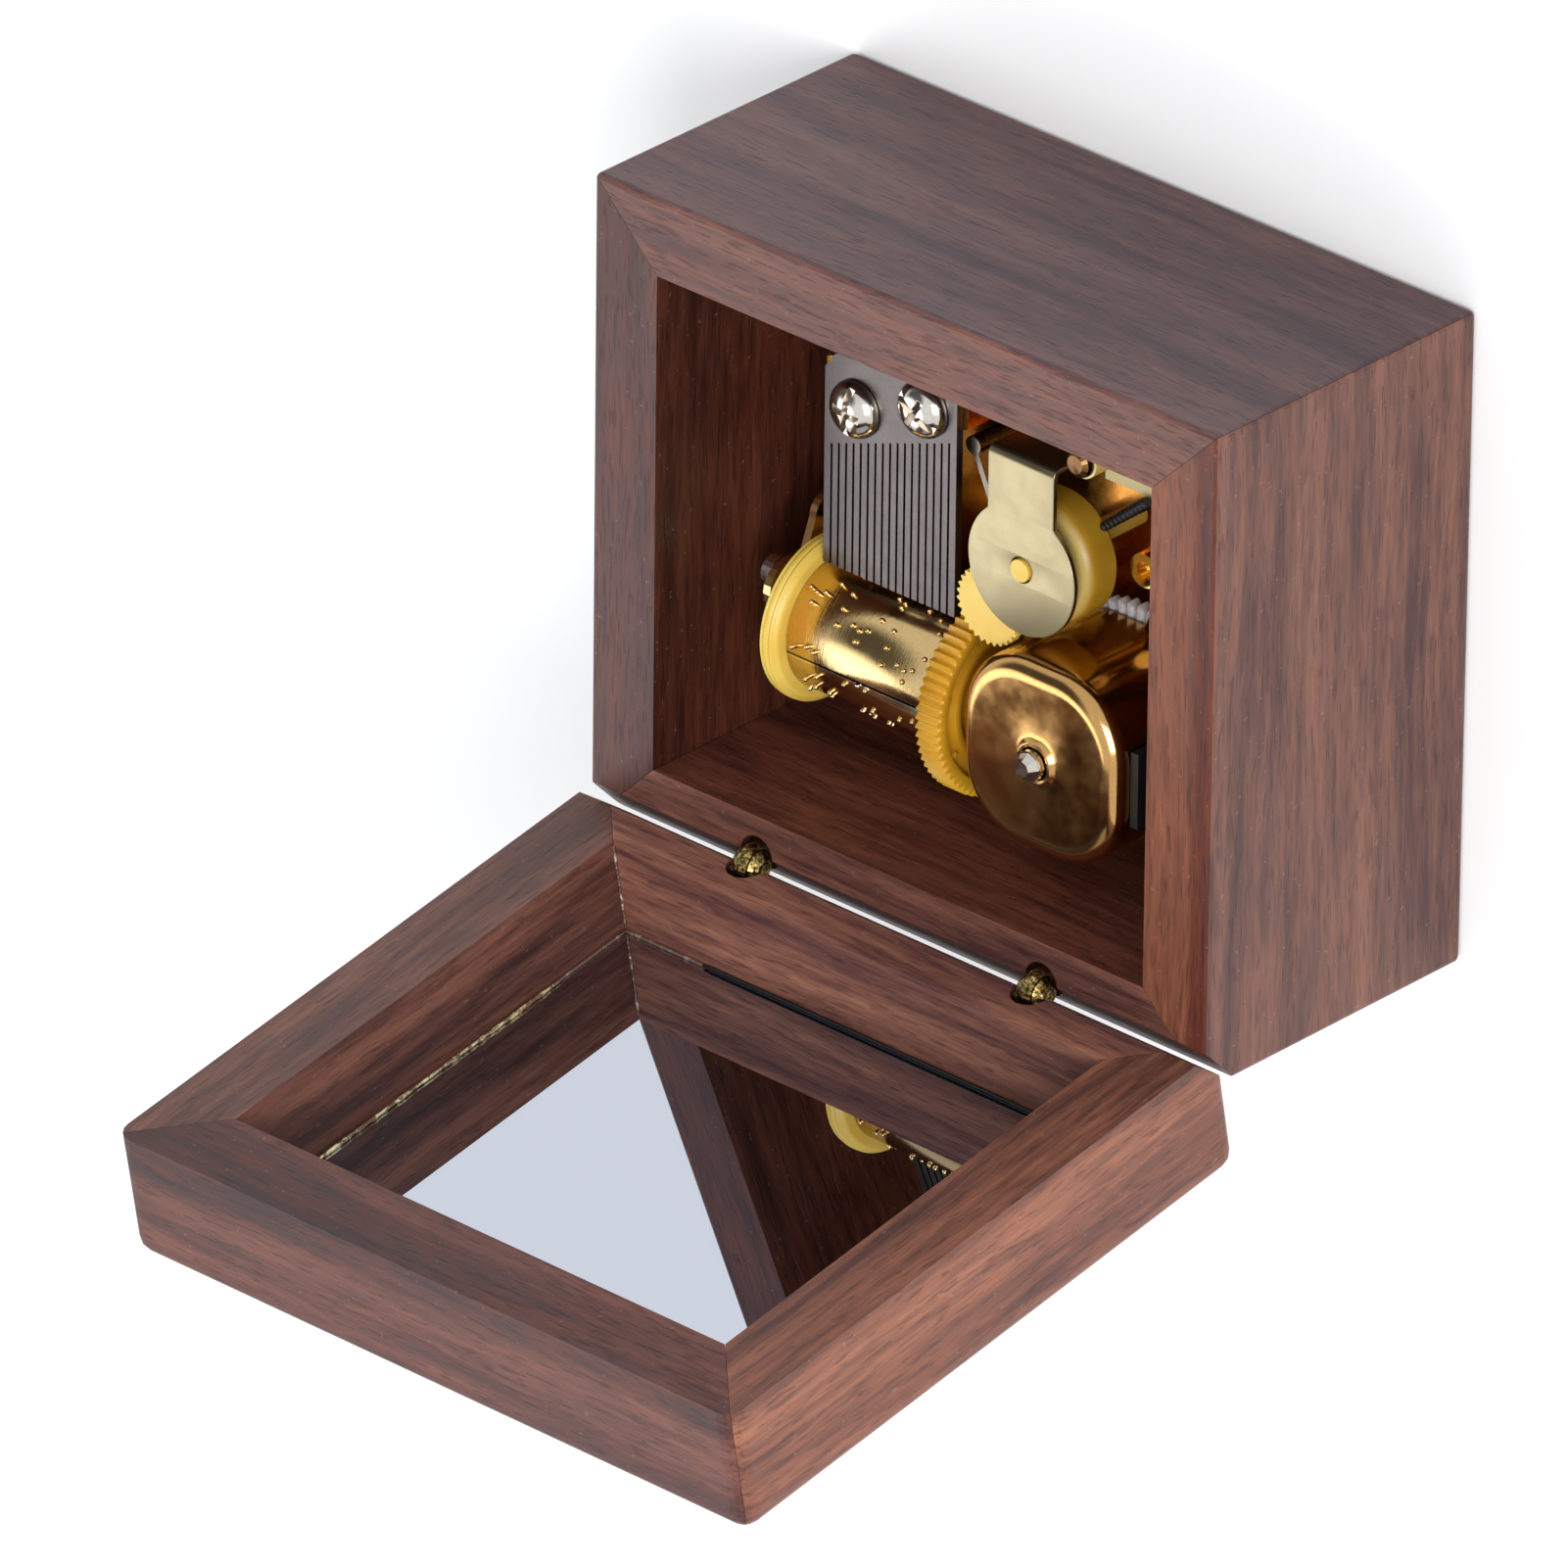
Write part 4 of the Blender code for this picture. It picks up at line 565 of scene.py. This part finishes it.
def flat_plate(outline, low, high, soft, holes=(), steps=3):
    """An outline in millimetres as a plate with rounded edges."""
    curve = bpy.data.curves.new("outline", "CURVE")
    curve.dimensions = "2D"
    curve.fill_mode = "BOTH"
    curve.extrude = ((high - low) / 2 - soft) * MM
    curve.bevel_depth = soft * MM
    curve.bevel_resolution = steps
    curve.offset = -soft * MM
    for ring in (outline, *holes):
        spline = curve.splines.new("POLY")
        spline.points.add(len(ring) - 1)
        for point, (u, v) in zip(spline.points, ring):
            point.co = (u * MM, (v + ORIGIN_Y) * MM, 0.0, 1.0)
        spline.use_cyclic_u = True
    source = bpy.data.objects.new("outline", curve)
    bpy.context.scene.collection.objects.link(source)
    bpy.context.view_layer.update()
    graph = bpy.context.evaluated_depsgraph_get()
    mesh = bpy.data.meshes.new_from_object(source.evaluated_get(graph))
    mesh.transform(Matrix.Translation((0.0, 0.0, (low + high) / 2 * MM)))
    work = bmesh.new()
    work.from_mesh(mesh)
    bmesh.ops.remove_doubles(work, verts=work.verts, dist=1e-6)
    bpy.data.objects.remove(source, do_unlink=True)
    bpy.data.meshes.remove(mesh)
    return work


for number, turn in enumerate((112, 180, 248), 1):
    lean = math.radians(turn)
    ear_x = SPRING_X + EAR_REACH * math.cos(lean)
    ear_y = SPRING_Y + EAR_REACH * math.sin(lean)
    start_x, start_y = SPRING_X + 8.0 * math.cos(lean), SPRING_Y + 8.0 * math.sin(lean)
    outline = (curve_of(ear_x, ear_y, 2.0, turn - 90, turn + 90, 16)
               + curve_of(start_x, start_y, 2.0, turn + 90, turn + 270, 4))
    hole = curve_of(ear_x, ear_y, 0.8, 0, 345, 23)
    piece("housing_ear_%d" % number, flat_plate(outline, HOUSING_LOW, HOUSING_LOW + 0.7, 0.12, [hole]),
          "case", gold, ("spring_housing",))


# Governor bracket: the disc with its stem, and the bent strip down to its foot

def disc_plate():
    radius = 6.5
    gap_left = math.degrees(math.asin((STEM_LEFT - GOV_X) / radius))
    gap_right = math.degrees(math.asin((GOV_X - STEM_RIGHT) / radius))
    outline = (curve_of(GOV_X, GOV_Y, radius, -90 + gap_left, 270 - gap_right, 88)
               + [(STEM_RIGHT + 0.01, -17.0), (STEM_LEFT - 0.01, -17.0)])
    hole = curve_of(GOV_X, GOV_Y, 1.25, 0, 350, 35)
    return flat_plate(outline, GOV_Z - 0.55, GOV_Z - 0.004, 0.10, [hole])


def bent_strip():
    """A strip swept along a bent path in the plane across X."""
    half_t, soft = 0.275, 0.10
    bend = 0.625
    path = [(-12.5, GOV_Z - half_t, 90.0), (-17.0, GOV_Z - half_t, 90.0)]
    for y, z in curve_of(STEM_END + half_t + bend, GOV_Z - half_t - bend, bend, 90, 180, 10):
        turn = math.degrees(math.atan2(z - (GOV_Z - half_t - bend), y - (STEM_END + half_t + bend)))
        path.append((y, z, turn))
    foot_z = FOOT_LOW + half_t
    path.append((STEM_END + half_t, 20.0, 180.0))
    centre_y, centre_z = STEM_END + half_t - bend, foot_z + bend
    for y, z in curve_of(centre_y, centre_z, bend, 0, -90, 8):
        turn = math.degrees(math.atan2(z - centre_z, y - centre_y)) + 180.0
        path.append((y, z, turn))
    path.append((-22.5, foot_z, 90.0))
    section = (curve_of(STEM_LEFT - soft, half_t - soft, soft, 90, 0, 3)
               + curve_of(STEM_LEFT - soft, -half_t + soft, soft, 0, -90, 3)
               + curve_of(STEM_RIGHT + soft, -half_t + soft, soft, 270, 180, 3)
               + curve_of(STEM_RIGHT + soft, half_t - soft, soft, 180, 90, 3))
    rings = []
    for y, z, turn in path:
        out_y, out_z = math.cos(math.radians(turn)), math.sin(math.radians(turn))
        rings.append([(x, y + out_y * t, z + out_z * t) for x, t in section])
    return loft(rings, (True, True))


piece("governor_disc", disc_plate(), "case", matte_gold, ("governor_bracket",))
piece("governor_strip", bent_strip(), "case", matte_gold, ("governor_bracket",))

drum_profile = ([(1.3, DRUM_TOP), (4.6, DRUM_TOP)] + curve_of(DRUM_R - 1.5, DRUM_TOP - 1.5, 1.5, 80, 0, 8)
                + [(DRUM_R, DRUM_LOW + 0.25), (DRUM_R - 0.2, DRUM_LOW), (DRUM_R - 0.8, DRUM_LOW),
                   (DRUM_R - 0.9, DRUM_LOW + 0.1), (DRUM_R - 0.9, DRUM_TOP - 0.9), (1.3, DRUM_TOP - 0.9)])
piece("drum", lathe(drum_profile, (GOV_X, GOV_Y), steps=96), "case", drum_yellow,
      ("governor_drum",), 35.0)


def set_screw():
    """A tapered thread: ridges on a rod turned about its length."""
    profile = []
    length, ridges = 7.0, 11
    for i in range(ridges * 6 + 1):
        share = i / (ridges * 6)
        core = 0.34 + 0.16 * share
        profile.append((core + 0.14 * (0.5 - 0.5 * math.cos(math.tau * ridges * share)), length * share))
    profile = [(0.0, 0.0)] + profile + [(0.42, length), (0.0, length)]
    work = bmesh.new()
    steps = 20
    rings = []
    for r, h in profile:
        ring = []
        for i in range(steps):
            angle = math.tau * i / steps
            ring.append(work.verts.new(Vector((max(r, 0.003) * math.cos(angle),
                                               max(r, 0.003) * math.sin(angle), h)) * MM))
        rings.append(ring)
    for first, second in zip(rings, rings[1:]):
        for i in range(steps):
            j = (i + 1) % steps
            work.faces.new((first[i], first[j], second[j], second[i]))
    bmesh.ops.remove_doubles(work, verts=work.verts, dist=1e-7)
    direction = Vector((-0.77, -0.64, 0.0)).normalized()
    start = at(GOV_X, GOV_Y, DRUM_LOW + 0.61) + direction * (DRUM_R + 0.06) * MM
    place = Matrix.Translation(start) @ direction.to_track_quat("Z", "Y").to_matrix().to_4x4()
    return work, place


screw_work, screw_place = set_screw()
piece("set_screw", screw_work, "case", black, ("governor_set_screw",), 60.0, screw_place)


# Cylinder, ring and gear

def pinned_cylinder():
    work = lathe([(1.06, CYL_RIGHT), (CYL_R - 0.06, CYL_RIGHT), (CYL_R, CYL_RIGHT + 0.06),
                  (CYL_R, CYL_LEFT - 0.06), (CYL_R - 0.06, CYL_LEFT), (1.06, CYL_LEFT)],
                 (CYL_Y, AXIS_Z), "X", 144)
    for row in range(18):
        x = 19.7 - (row + 0.5) * 0.9
        for step in range(7):
            angle = math.tau * (step / 7 + 0.137 * row + 0.052 * (row * step % 7))
            if abs((angle + 0.125) % math.tau) < 0.12:
                continue
            turn = (Matrix.Translation(at(x, CYL_Y, AXIS_Z)) @ Matrix.Rotation(angle, 4, "X")
                    @ Matrix.Translation((0.0, 0.0, (CYL_R - 0.05) * MM)))
            profile = ((0.27, 0.0), (0.26, 0.22), (0.21, 0.33), (0.11, 0.385), (0.0, 0.40))
            rings = [[work.verts.new(turn @ (Vector((r * math.cos(math.tau * i / 9),
                                                     r * math.sin(math.tau * i / 9), h)) * MM))
                      for i in range(9)] for r, h in profile[:-1]]
            top = work.verts.new(turn @ Vector((0.0, 0.0, profile[-1][1] * MM)))
            for first, second in zip(rings, rings[1:]):
                for i in range(9):
                    j = (i + 1) % 9
                    work.faces.new((first[i], first[j], second[j], second[i]))
            for i in range(9):
                work.faces.new((rings[-1][i], rings[-1][(i + 1) % 9], top))
    return work


piece("cylinder_drum", pinned_cylinder(), "cylinder", cylinder_gold, ("cylinder",), 50.0)

ring_profile = [(1.06, 20.16), (7.25, 20.16)] + curve_of(7.35, 20.76, 0.6, 270, 340, 5) + [
    (8.08, 20.62), (8.17, 20.76), (8.12, 20.90), (8.02, 20.98), (8.12, 21.06), (8.2, 21.22), (8.2, 21.5),
    (8.12, 21.62), (8.02, 21.70), (8.10, 21.78), (8.1, 21.95), (7.9, 22.08), (7.4, 22.1), (7.2, 21.9),
    (1.06, 21.9)]
piece("end_ring", lathe(ring_profile, (CYL_Y, AXIS_Z), "X", 120), "cylinder", yellow,
      ("cylinder_end_ring",), 50.0)


def saw(teeth, depth):
    """A radius rule for rounded teeth."""
    def rule(angle, radius):
        share = (angle * teeth / math.tau) % 1.0
        wave = 0.5 + 0.5 * math.cos(math.tau * share)
        return radius - depth * (1.0 - wave ** 1.4)
    return rule


def toothed_gear():
    teeth = saw(GEAR_TEETH, 0.42)
    steps = GEAR_TEETH * 6
    centre = (CYL_Y, AXIS_Z)
    rings = [circle(8.3, GEAR_LEFT, centre, "X", steps),
             circle(9.8, GEAR_LEFT, centre, "X", steps, teeth),
             circle(9.9, GEAR_LEFT - 0.12, centre, "X", steps, teeth),
             circle(9.9, GEAR_RIGHT + 0.35, centre, "X", steps, teeth),
             circle(9.72, GEAR_RIGHT + 0.08, centre, "X", steps, teeth),
             circle(9.25, GEAR_RIGHT, centre, "X", steps),
             circle(8.5, GEAR_RIGHT, centre, "X", steps),
             circle(8.3, GEAR_RIGHT + 0.12, centre, "X", steps),
             circle(8.25, GEAR_RIGHT + 1.0, centre, "X", steps)]
    work = loft(rings + [rings[0]])
    web = [(8.3, GEAR_RIGHT + 1.0), (7.1, GEAR_RIGHT + 1.0), (6.95, GEAR_RIGHT + 0.45),
           (6.8, GEAR_RIGHT + 0.35), (6.2, GEAR_RIGHT + 0.35), (6.05, GEAR_RIGHT + 0.45),
           (5.9, GEAR_RIGHT + 1.5), (2.7, GEAR_RIGHT + 1.5), (2.55, GEAR_RIGHT + 0.2),
           (2.4, GEAR_RIGHT + 0.05), (1.06, GEAR_RIGHT + 0.05), (1.06, GEAR_LEFT), (8.3, GEAR_LEFT)]
    lathe(web, centre, "X", 96, work)
    for i in range(8):
        angle = math.tau * (i + 0.3) / 8
        y, z = CYL_Y + 7.65 * math.cos(angle), AXIS_Z + 7.65 * math.sin(angle)
        lathe([(0.42, GEAR_RIGHT + 1.02), (0.40, GEAR_RIGHT + 0.72), (0.26, GEAR_RIGHT + 0.62),
               (0.0, GEAR_RIGHT + 0.60)], (y, z), "X", 14, work, False)
    return work


piece("tooth_gear", toothed_gear(), "cylinder", gear_yellow, ("cylinder_gear",), 40.0)


def great_wheel():
    """A white wheel with radial ribs on its upper face."""
    teeth = saw(WHEEL_TEETH, 0.55)
    steps = WHEEL_TEETH * 6
    low, high = 15.9, 17.4
    centre = (SPRING_X, SPRING_Y)

    def ribbed(radius, height, depth):
        points = []
        for i in range(steps):
            angle = math.tau * i / steps
            share = (angle * WHEEL_TEETH / math.tau) % 1.0
            drop = depth * (1.0 - (0.5 + 0.5 * math.cos(math.tau * share)) ** 3.0)
            r = teeth(angle, radius) if radius > 10.0 else radius
            points.append((centre[0] + r * math.cos(angle), centre[1] + r * math.sin(angle), height - drop))
        return points

    rings = [circle(1.65, low, centre, "Z", steps), circle(10.8, low, centre, "Z", steps, teeth),
             ribbed(10.9, low + 0.2, 0.0), ribbed(10.9, high - 0.2, 0.3), ribbed(10.75, high, 0.35),
             ribbed(8.2, high, 0.35), circle(7.9, high, centre, "Z", steps),
             circle(1.65, high, centre, "Z", steps)]
    return loft(rings + [rings[0]])


piece("great_wheel", great_wheel(), "drive", white, ("drive_gear",), 45.0)


# Comb screws with a cross in the slot

def screw_head(label, x, y, turn):
    seat = 23.41
    head = [(0.0, seat + 1.70), (0.9, seat + 1.66), (1.7, seat + 1.48), (2.3, seat + 1.14),
            (2.68, seat + 0.70), (2.85, seat + 0.28), (2.83, seat + 0.06), (2.75, seat),
            (1.4, seat), (1.4, seat - 9.0), (0.0, seat - 9.0)]
    item = piece("comb_screw_head_" + label, lathe(head, (x, y), "Z", 72, None, False), "case", nickel,
                 ("comb_screw_" + label,), 35.0)
    cutter_mesh = bpy.data.meshes.new("driver")
    work = bmesh.new()
    for length, width, depth in ((7.0, 0.75, 0.75), (0.75, 3.2, 0.95)):
        made = bmesh.ops.create_cube(work, size=1.0)["verts"]
        bmesh.ops.scale(work, vec=Vector((length, width, 2.0)) * MM, verts=made)
        bmesh.ops.translate(work, vec=Vector((0.0, 0.0, 2.7 - depth)) * MM, verts=made)
    work.to_mesh(cutter_mesh)
    work.free()
    cutter_mesh.transform(Matrix.Translation(at(x, y, seat)) @ Matrix.Rotation(math.radians(turn), 4, "Z"))
    cutter = bpy.data.objects.new("driver", cutter_mesh)
    bpy.context.scene.collection.objects.link(cutter)
    carve = item.modifiers.new("slot", "BOOLEAN")
    carve.operation = "DIFFERENCE"
    carve.solver = "EXACT"
    carve.use_self = True
    carve.object = cutter
    bpy.context.view_layer.update()
    graph = bpy.context.evaluated_depsgraph_get()
    carved = bpy.data.meshes.new_from_object(item.evaluated_get(graph))
    item.modifiers.clear()
    item.data = carved
    carved.materials.clear()
    carved.materials.append(nickel)
    carved.shade_smooth()
    carved.set_sharp_from_angle(angle=math.radians(35.0))
    bpy.data.objects.remove(cutter, do_unlink=True)


screw_head("left", 15.78, -12.82, 82.0)
screw_head("right", 7.42, -15.79, 150.0)


# Lid trim: a black strip along the mirror's hinge-side edge, the glass edge and the glue line, made with the
# lid shut

def bead(start, end, radius, squash=1.0, steps=12, bumps=0.0):
    """A thin rounded strip between two points in millimetres."""
    start, end = Vector(start), Vector(end)
    along = (end - start).normalized()
    side = along.orthogonal().normalized()
    up = along.cross(side)
    rings = []
    count = 48
    for i in range(count + 1):
        share = i / count
        middle = start.lerp(end, share)
        r = radius * (1.0 + bumps * math.sin(37.0 * share + 5.0 * math.sin(91.0 * share)))
        if i in (0, count):
            r *= 0.5
        rings.append([tuple(middle + side * r * math.cos(math.tau * k / steps)
                            + up * r * squash * math.sin(math.tau * k / steps)) for k in range(steps)])
    return loft(rings, (True, True))


def glint(name, low, high, base, bright):
    """Dried glue or a chipped glass edge: a dull strip with bright chips, partly real chips and partly
    painted glints.
    """
    m = Nodes(name)
    chips = m.noise(m.mapped((900.0, 900.0, 900.0)), 1.0, 3.0, 0.75)
    mask = m.grey(chips, low, high)
    shade = mix_colour(m, mask, base, bright)
    fine = m.noise(m.mapped((2600.0, 2600.0, 2600.0)), 1.0, 2.0, 0.6)
    normal = m.bump(fine, 0.00008, 0.7)
    return m.surface(colour=shade, roughness=0.3, metallic=m.math("MULTIPLY", mask, 0.5), normal=normal)


glass_edge = glint("glass_edge", 0.56, 0.62, linear(112, 88, 78), linear(196, 176, 156))
# painted glints: the bright gold chips along the mirror's edge
gold_chip_glint = glint("gold_chip_glint", 0.46, 0.56, linear(120, 92, 70), linear(255, 240, 190))
glue = glint("dry_glue", 0.50, 0.62, linear(96, 66, 50), linear(214, 196, 176))
# a black strip along the mirror's hinge-side edge
piece("mirror_black_strip", bead((20.2, 25.0, MIRROR_Z - 0.24), (-28.5, 25.0, MIRROR_Z - 0.24), 0.24), "lid",
      dark_strip, (), 60.0, TO_OPEN)
piece("mirror_edge_back", bead((30.0, 25.1, MIRROR_Z - 0.14), (20.4, 25.1, MIRROR_Z - 0.14), 0.16), "lid",
      glass_edge, (), 60.0, TO_OPEN)
piece("mirror_edge_left", bead((30.02, 25.0, MIRROR_Z - 0.12), (30.02, -25.0, MIRROR_Z - 0.12), 0.14), "lid",
      glass_edge, (), 60.0, TO_OPEN)
piece("mirror_chips", bead((29.86, 16.2, MIRROR_Z - 0.2), (29.86, -16.5, MIRROR_Z - 0.2),
                           0.17, 1.0, 10, 0.35), "lid", gold_chip_glint, (), 60.0, TO_OPEN)
piece("corner_glue", bead((30.1, 25.2, LID_RIM + 0.4), (30.1, 25.2, MIRROR_Z - 0.3),
                          0.13, 1.0, 10, 0.3), "lid",
      glue, (), 60.0, TO_OPEN)


# Floor

def make_floor():
    half = 6.0
    mesh = bpy.data.meshes.new("floor")
    mesh.from_pydata([(-half, -half, 0.0), (half, -half, 0.0), (half, half, 0.0), (-half, half, 0.0)],
                     [], [(0, 1, 2, 3)])
    floor = bpy.data.objects.new("floor", mesh)
    bpy.context.scene.collection.objects.link(floor)
    floor.location.z = -0.0002
    f = Nodes("floor_paint")
    tone = f.noise(f.mapped((3.0, 3.0, 3.0)), 1.0, 2.0, 0.5)
    shade = mix_colour(f, f.grey(tone, 0.3, 0.7), linear(252, 252, 252), linear(249, 249, 250))
    mesh.materials.append(f.surface(colour=shade, roughness=0.9, specular=0.1))


make_floor()


# Light

def area_light(name, place, aim, size, power, colour=(1.0, 1.0, 1.0)):
    data = bpy.data.lights.new(name, "AREA")
    data.shape = "RECTANGLE"
    data.size, data.size_y = size
    data.energy = power
    data.color = colour
    lamp = bpy.data.objects.new(name, data)
    bpy.context.scene.collection.objects.link(lamp)
    lamp.location = place
    lamp.rotation_mode = "QUATERNION"
    lamp.rotation_quaternion = (Vector(aim) - Vector(place)).to_track_quat("-Z", "Y")
    return lamp


CENTRE = (0.0, 0.04, 0.04)
area_light("key", (-1.1, -0.2, 1.2), CENTRE, (0.8, 0.8), 17.0)


def studio_world():
    """An even pale room with a dark ceiling patch and a bright window to the back left."""
    world = bpy.data.worlds.new("studio")
    bpy.context.scene.world = world
    world.use_nodes = True
    background = world.node_tree.nodes["Background"]
    s = Nodes("", world)
    direction = s.add("ShaderNodeTexCoord").outputs["Generated"]
    front = s.grey(toward(s, direction, (0.25, -0.968, 0.0)), 0.0, 0.9, 1.0, 0.85)
    dark = s.grey(toward(s, direction, (0.557, -0.253, 0.791)), 0.86, 0.95, 1.0, 0.12)
    bright = s.grey(toward(s, direction, (0.600, 0.385, 0.701)), 0.90, 0.965, 0.0, 1.9)
    level = s.math("ADD", s.math("MULTIPLY", s.math("MULTIPLY", front, dark), 0.92), bright)
    s.put(level, background.inputs["Strength"])
    background.inputs["Color"].default_value = (0.97, 0.985, 1.0, 1.0)


studio_world()


# Camera, at the photograph's place

def make_camera():
    data = bpy.data.cameras.new("camera")
    camera = bpy.data.objects.new("camera", data)
    bpy.context.scene.collection.objects.link(camera)
    right = Vector((-0.73322, -0.00990, -0.67992))
    up = Vector((0.32449, -0.88380, -0.33706))
    back = Vector((-0.59757, -0.46777, 0.65123))
    turn = Matrix((right, up, back)).transposed()
    camera.matrix_world = Matrix.Translation((-1.40327, -1.05938, 1.57901)) @ turn.to_4x4()
    data.sensor_width = 36.0
    data.lens = 598.46
    data.clip_start = 0.1
    data.clip_end = 40.0
    bpy.context.scene.camera = camera


make_camera()
bpy.context.scene.view_settings.view_transform = "Standard"
